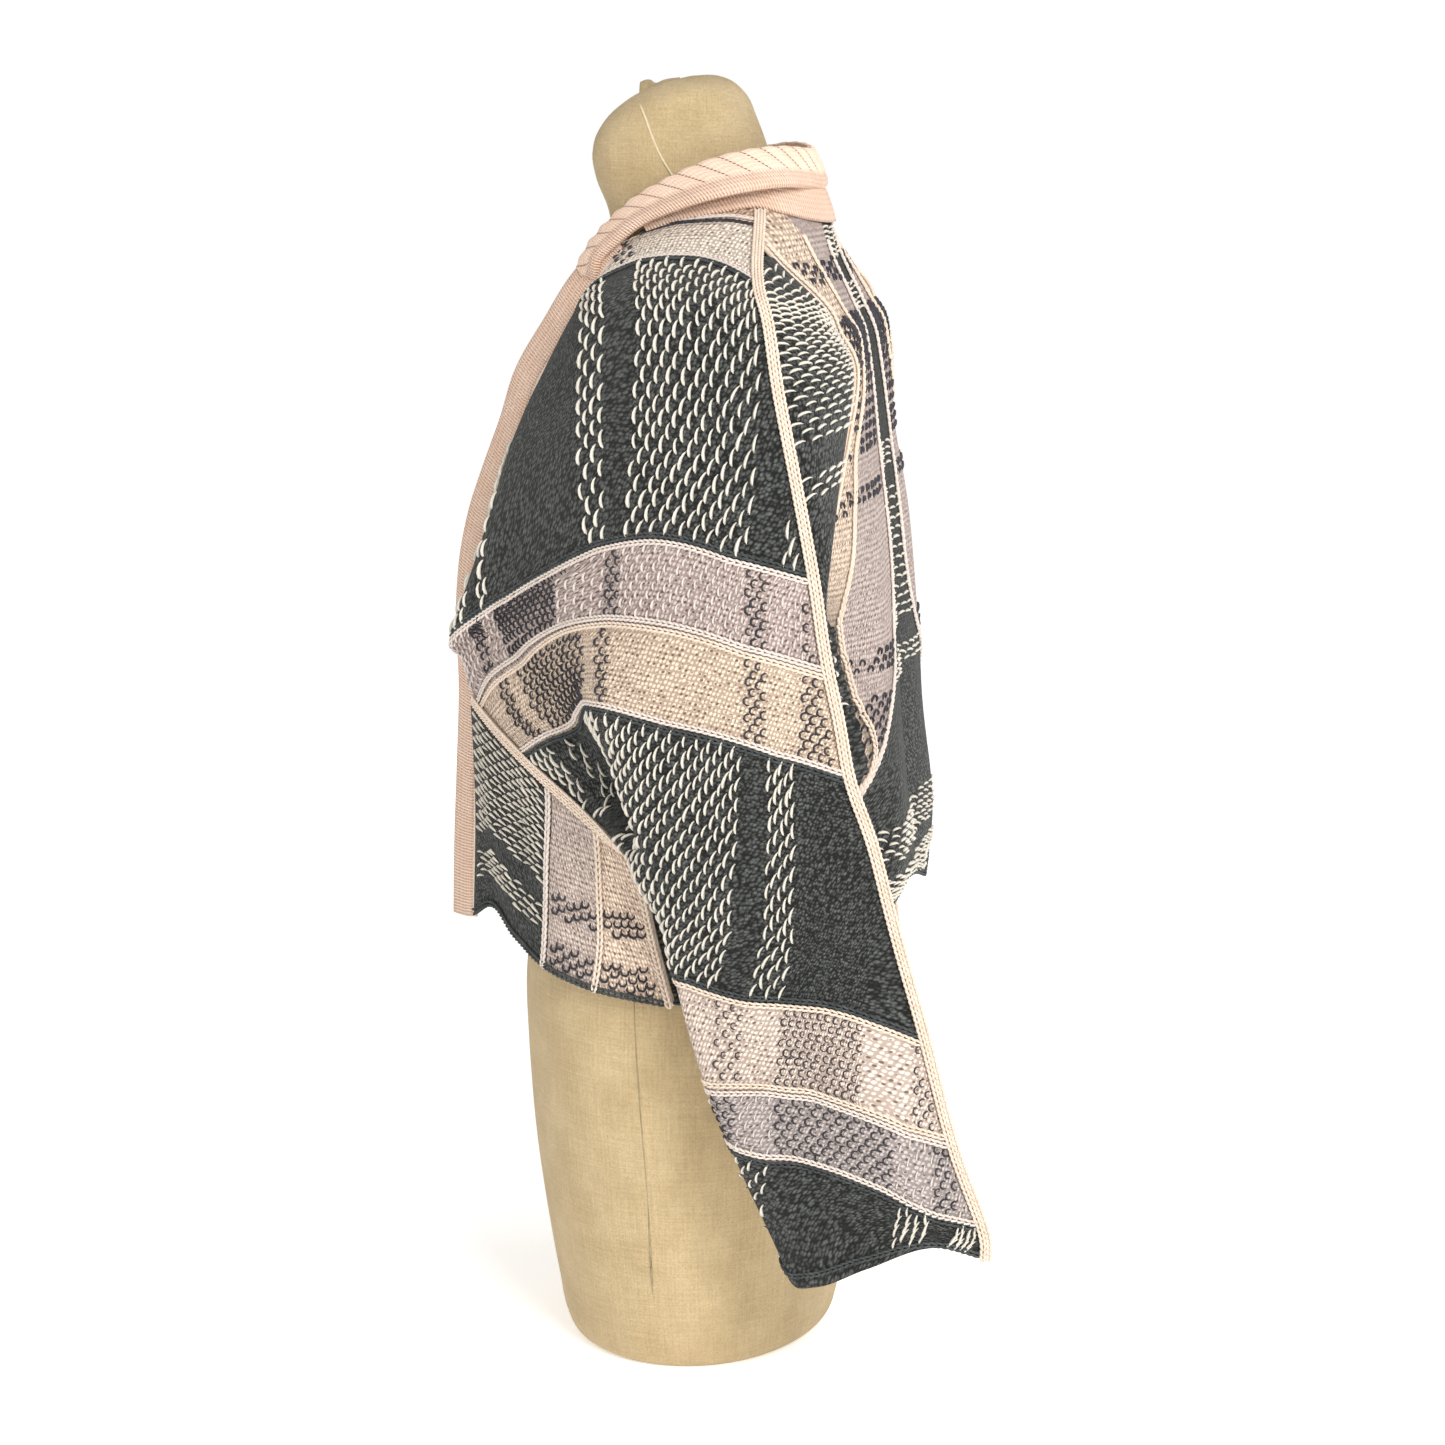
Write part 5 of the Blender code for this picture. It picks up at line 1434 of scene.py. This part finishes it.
def dress_form(looks):
    """The form's linen cover."""
    steps = lengths_along(np.array([row[:2] for row in FORM], float))
    sections = np.linspace(0, len(FORM) - 1, FORM_RINGS)
    turns = np.arange(FORM_AROUND) * 2 * math.pi / FORM_AROUND
    rings = []
    for place in smooth(np.arange(len(FORM)), steps[:, None], sections)[:, 0]:
        height, *section = smooth(steps, FORM, place)[0]
        rings.append(form_points(max(height, 0.0), *section, turns))
    faces = rod_faces(FORM_RINGS, FORM_AROUND, True, True)
    piece("form_cover", rings, faces, looks["linen"], "dress_form")


def form_lines(looks):
    """The form's seam lines, on both sides."""
    heights, *columns = zip(*FORM)
    for name, places, radius, yarn in FORM_LINES:
        for side, mirror in (("left", 1), ("right", -1)):
            line = [form_points(height, *(np.interp(height, heights, column) for column in columns),
                                math.radians(angle)) for height, angle in places]
            line = curve_through(np.array(line) * (mirror, 1, 1), FORM_LINE_POINTS)
            points, faces = tube(line + (LINE_OUT * mirror, 0, 0), radius, 6)
            piece(f"form_{name}_{side}", points, faces, looks[yarn])


def neck_flap(looks):
    """The small flap of cloth on top of the form's neck."""
    across = np.linspace(-1, 1, FLAP_ACROSS)
    profile = curve_through(FLAP_PROFILE, FLAP_ALONG)
    halves = curve_through(np.column_stack([FLAP_HALVES, np.arange(len(FLAP_HALVES))]), FLAP_ALONG)[:, 0]
    rows = []
    for k, ((y, low, high), half) in enumerate(zip(profile, halves)):
        z = low + high * (1 - abs(across) ** FLAP_ROUND) + FLAP_RIPPLE * np.sin(4 * across + 0.4 * k)
        rows.append(np.stack([FLAP_CENTRE + half * across, np.full(FLAP_ACROSS, y), z], axis=1))
    faces = grid_faces(FLAP_ALONG, FLAP_ACROSS, True)
    thicken(piece("neck_flap", rows, faces, looks["linen_flap"], "neck_tab"), FLAP_WALL)


def floor():
    """A pale floor."""
    mesh = bpy.data.meshes.new("floor")
    corners = [(x * FLOOR_REACH, y * FLOOR_REACH, 0) for x, y in ((-1, -1), (1, -1), (1, 1), (-1, 1))]
    mesh.from_pydata(corners, [], [(0, 1, 2, 3)])
    plain = Shader("pale_floor", 0.9)
    plain.out.inputs["Emission Color"].default_value = WHITE
    plain.out.inputs["Emission Strength"].default_value = FLOOR_GLOW
    mesh.materials.append(plain.finish((0.95, 0.95, 0.95)))
    obj = bpy.data.objects.new("floor", mesh)
    bpy.context.scene.collection.objects.link(obj)


def backdrop():
    """A world that looks white and lights softly."""
    world = bpy.data.worlds.new("studio")
    world.use_nodes = True
    tree = world.node_tree
    seen = tree.nodes["Background"]
    seen.inputs["Color"].default_value = WHITE
    soft = tree.nodes.new("ShaderNodeBackground")
    soft.inputs["Color"].default_value = WARM_WHITE
    soft.inputs["Strength"].default_value = WORLD_STRENGTH
    path, mix = tree.nodes.new("ShaderNodeLightPath"), tree.nodes.new("ShaderNodeMixShader")
    tree.links.new(path.outputs["Is Camera Ray"], mix.inputs[0])
    tree.links.new(soft.outputs[0], mix.inputs[1])
    tree.links.new(seen.outputs[0], mix.inputs[2])
    tree.links.new(mix.outputs[0], tree.nodes["World Output"].inputs["Surface"])
    bpy.context.scene.world = world


def lamps():
    """The area lamps, all turned towards the middle of the garment."""
    for name, place, size, power in LAMPS:
        light = bpy.data.lights.new(name, "AREA")
        light.energy = power
        light.size = size
        lamp = bpy.data.objects.new(name, light)
        lamp.location = place
        lamp.rotation_euler = (Vector(place) - Vector(LAMPS_AT)).to_track_quat("Z", "Y").to_euler()
        bpy.context.scene.collection.objects.link(lamp)


def camera():
    """The photo's camera."""
    turn, lift = math.radians(CAMERA_TURN), math.radians(CAMERA_LIFT)
    away = Vector((math.sin(turn) * math.cos(lift), -math.cos(turn) * math.cos(lift), math.sin(lift)))
    obj = bpy.data.objects.new("camera", bpy.data.cameras.new("camera"))
    obj.location = Vector(CAMERA_AT) + away * CAMERA_AWAY
    obj.rotation_euler = away.to_track_quat("Z", "Y").to_euler()
    obj.data.sensor_width = SENSOR
    obj.data.lens = FOCAL_PIXELS * SENSOR / PHOTO_PIXELS
    bpy.context.scene.collection.objects.link(obj)
    bpy.context.scene.camera = obj
    bpy.context.scene.view_settings.view_transform = "Standard"


def main():
    """Dress the frame."""
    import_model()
    seams = left_seams()
    looks = materials()
    upper, sleeve = front_upper_panel(seams), sleeve_back_panel(seams)
    lower, back_half = front_lower_panel(seams), back_panel(seams)
    for side, right in (("left", False), ("right", True)):
        panels = {"upper": front_upper(side, right, upper, looks)}
        panels["sleeve"] = sleeve_back(side, right, sleeve, looks)
        panels["lower"] = front_lower(side, right, lower, looks)
        seam_braids(side, right, seams, panels, looks)
        front_band(side, right, panels["upper"], looks)
    behind = back(back_half, looks)
    collar(upper[0][0], back_half[0][0], looks)
    dress_form(looks)
    form_lines(looks)
    neck_flap(looks)
    floor()
    backdrop()
    lamps()
    camera()


main()
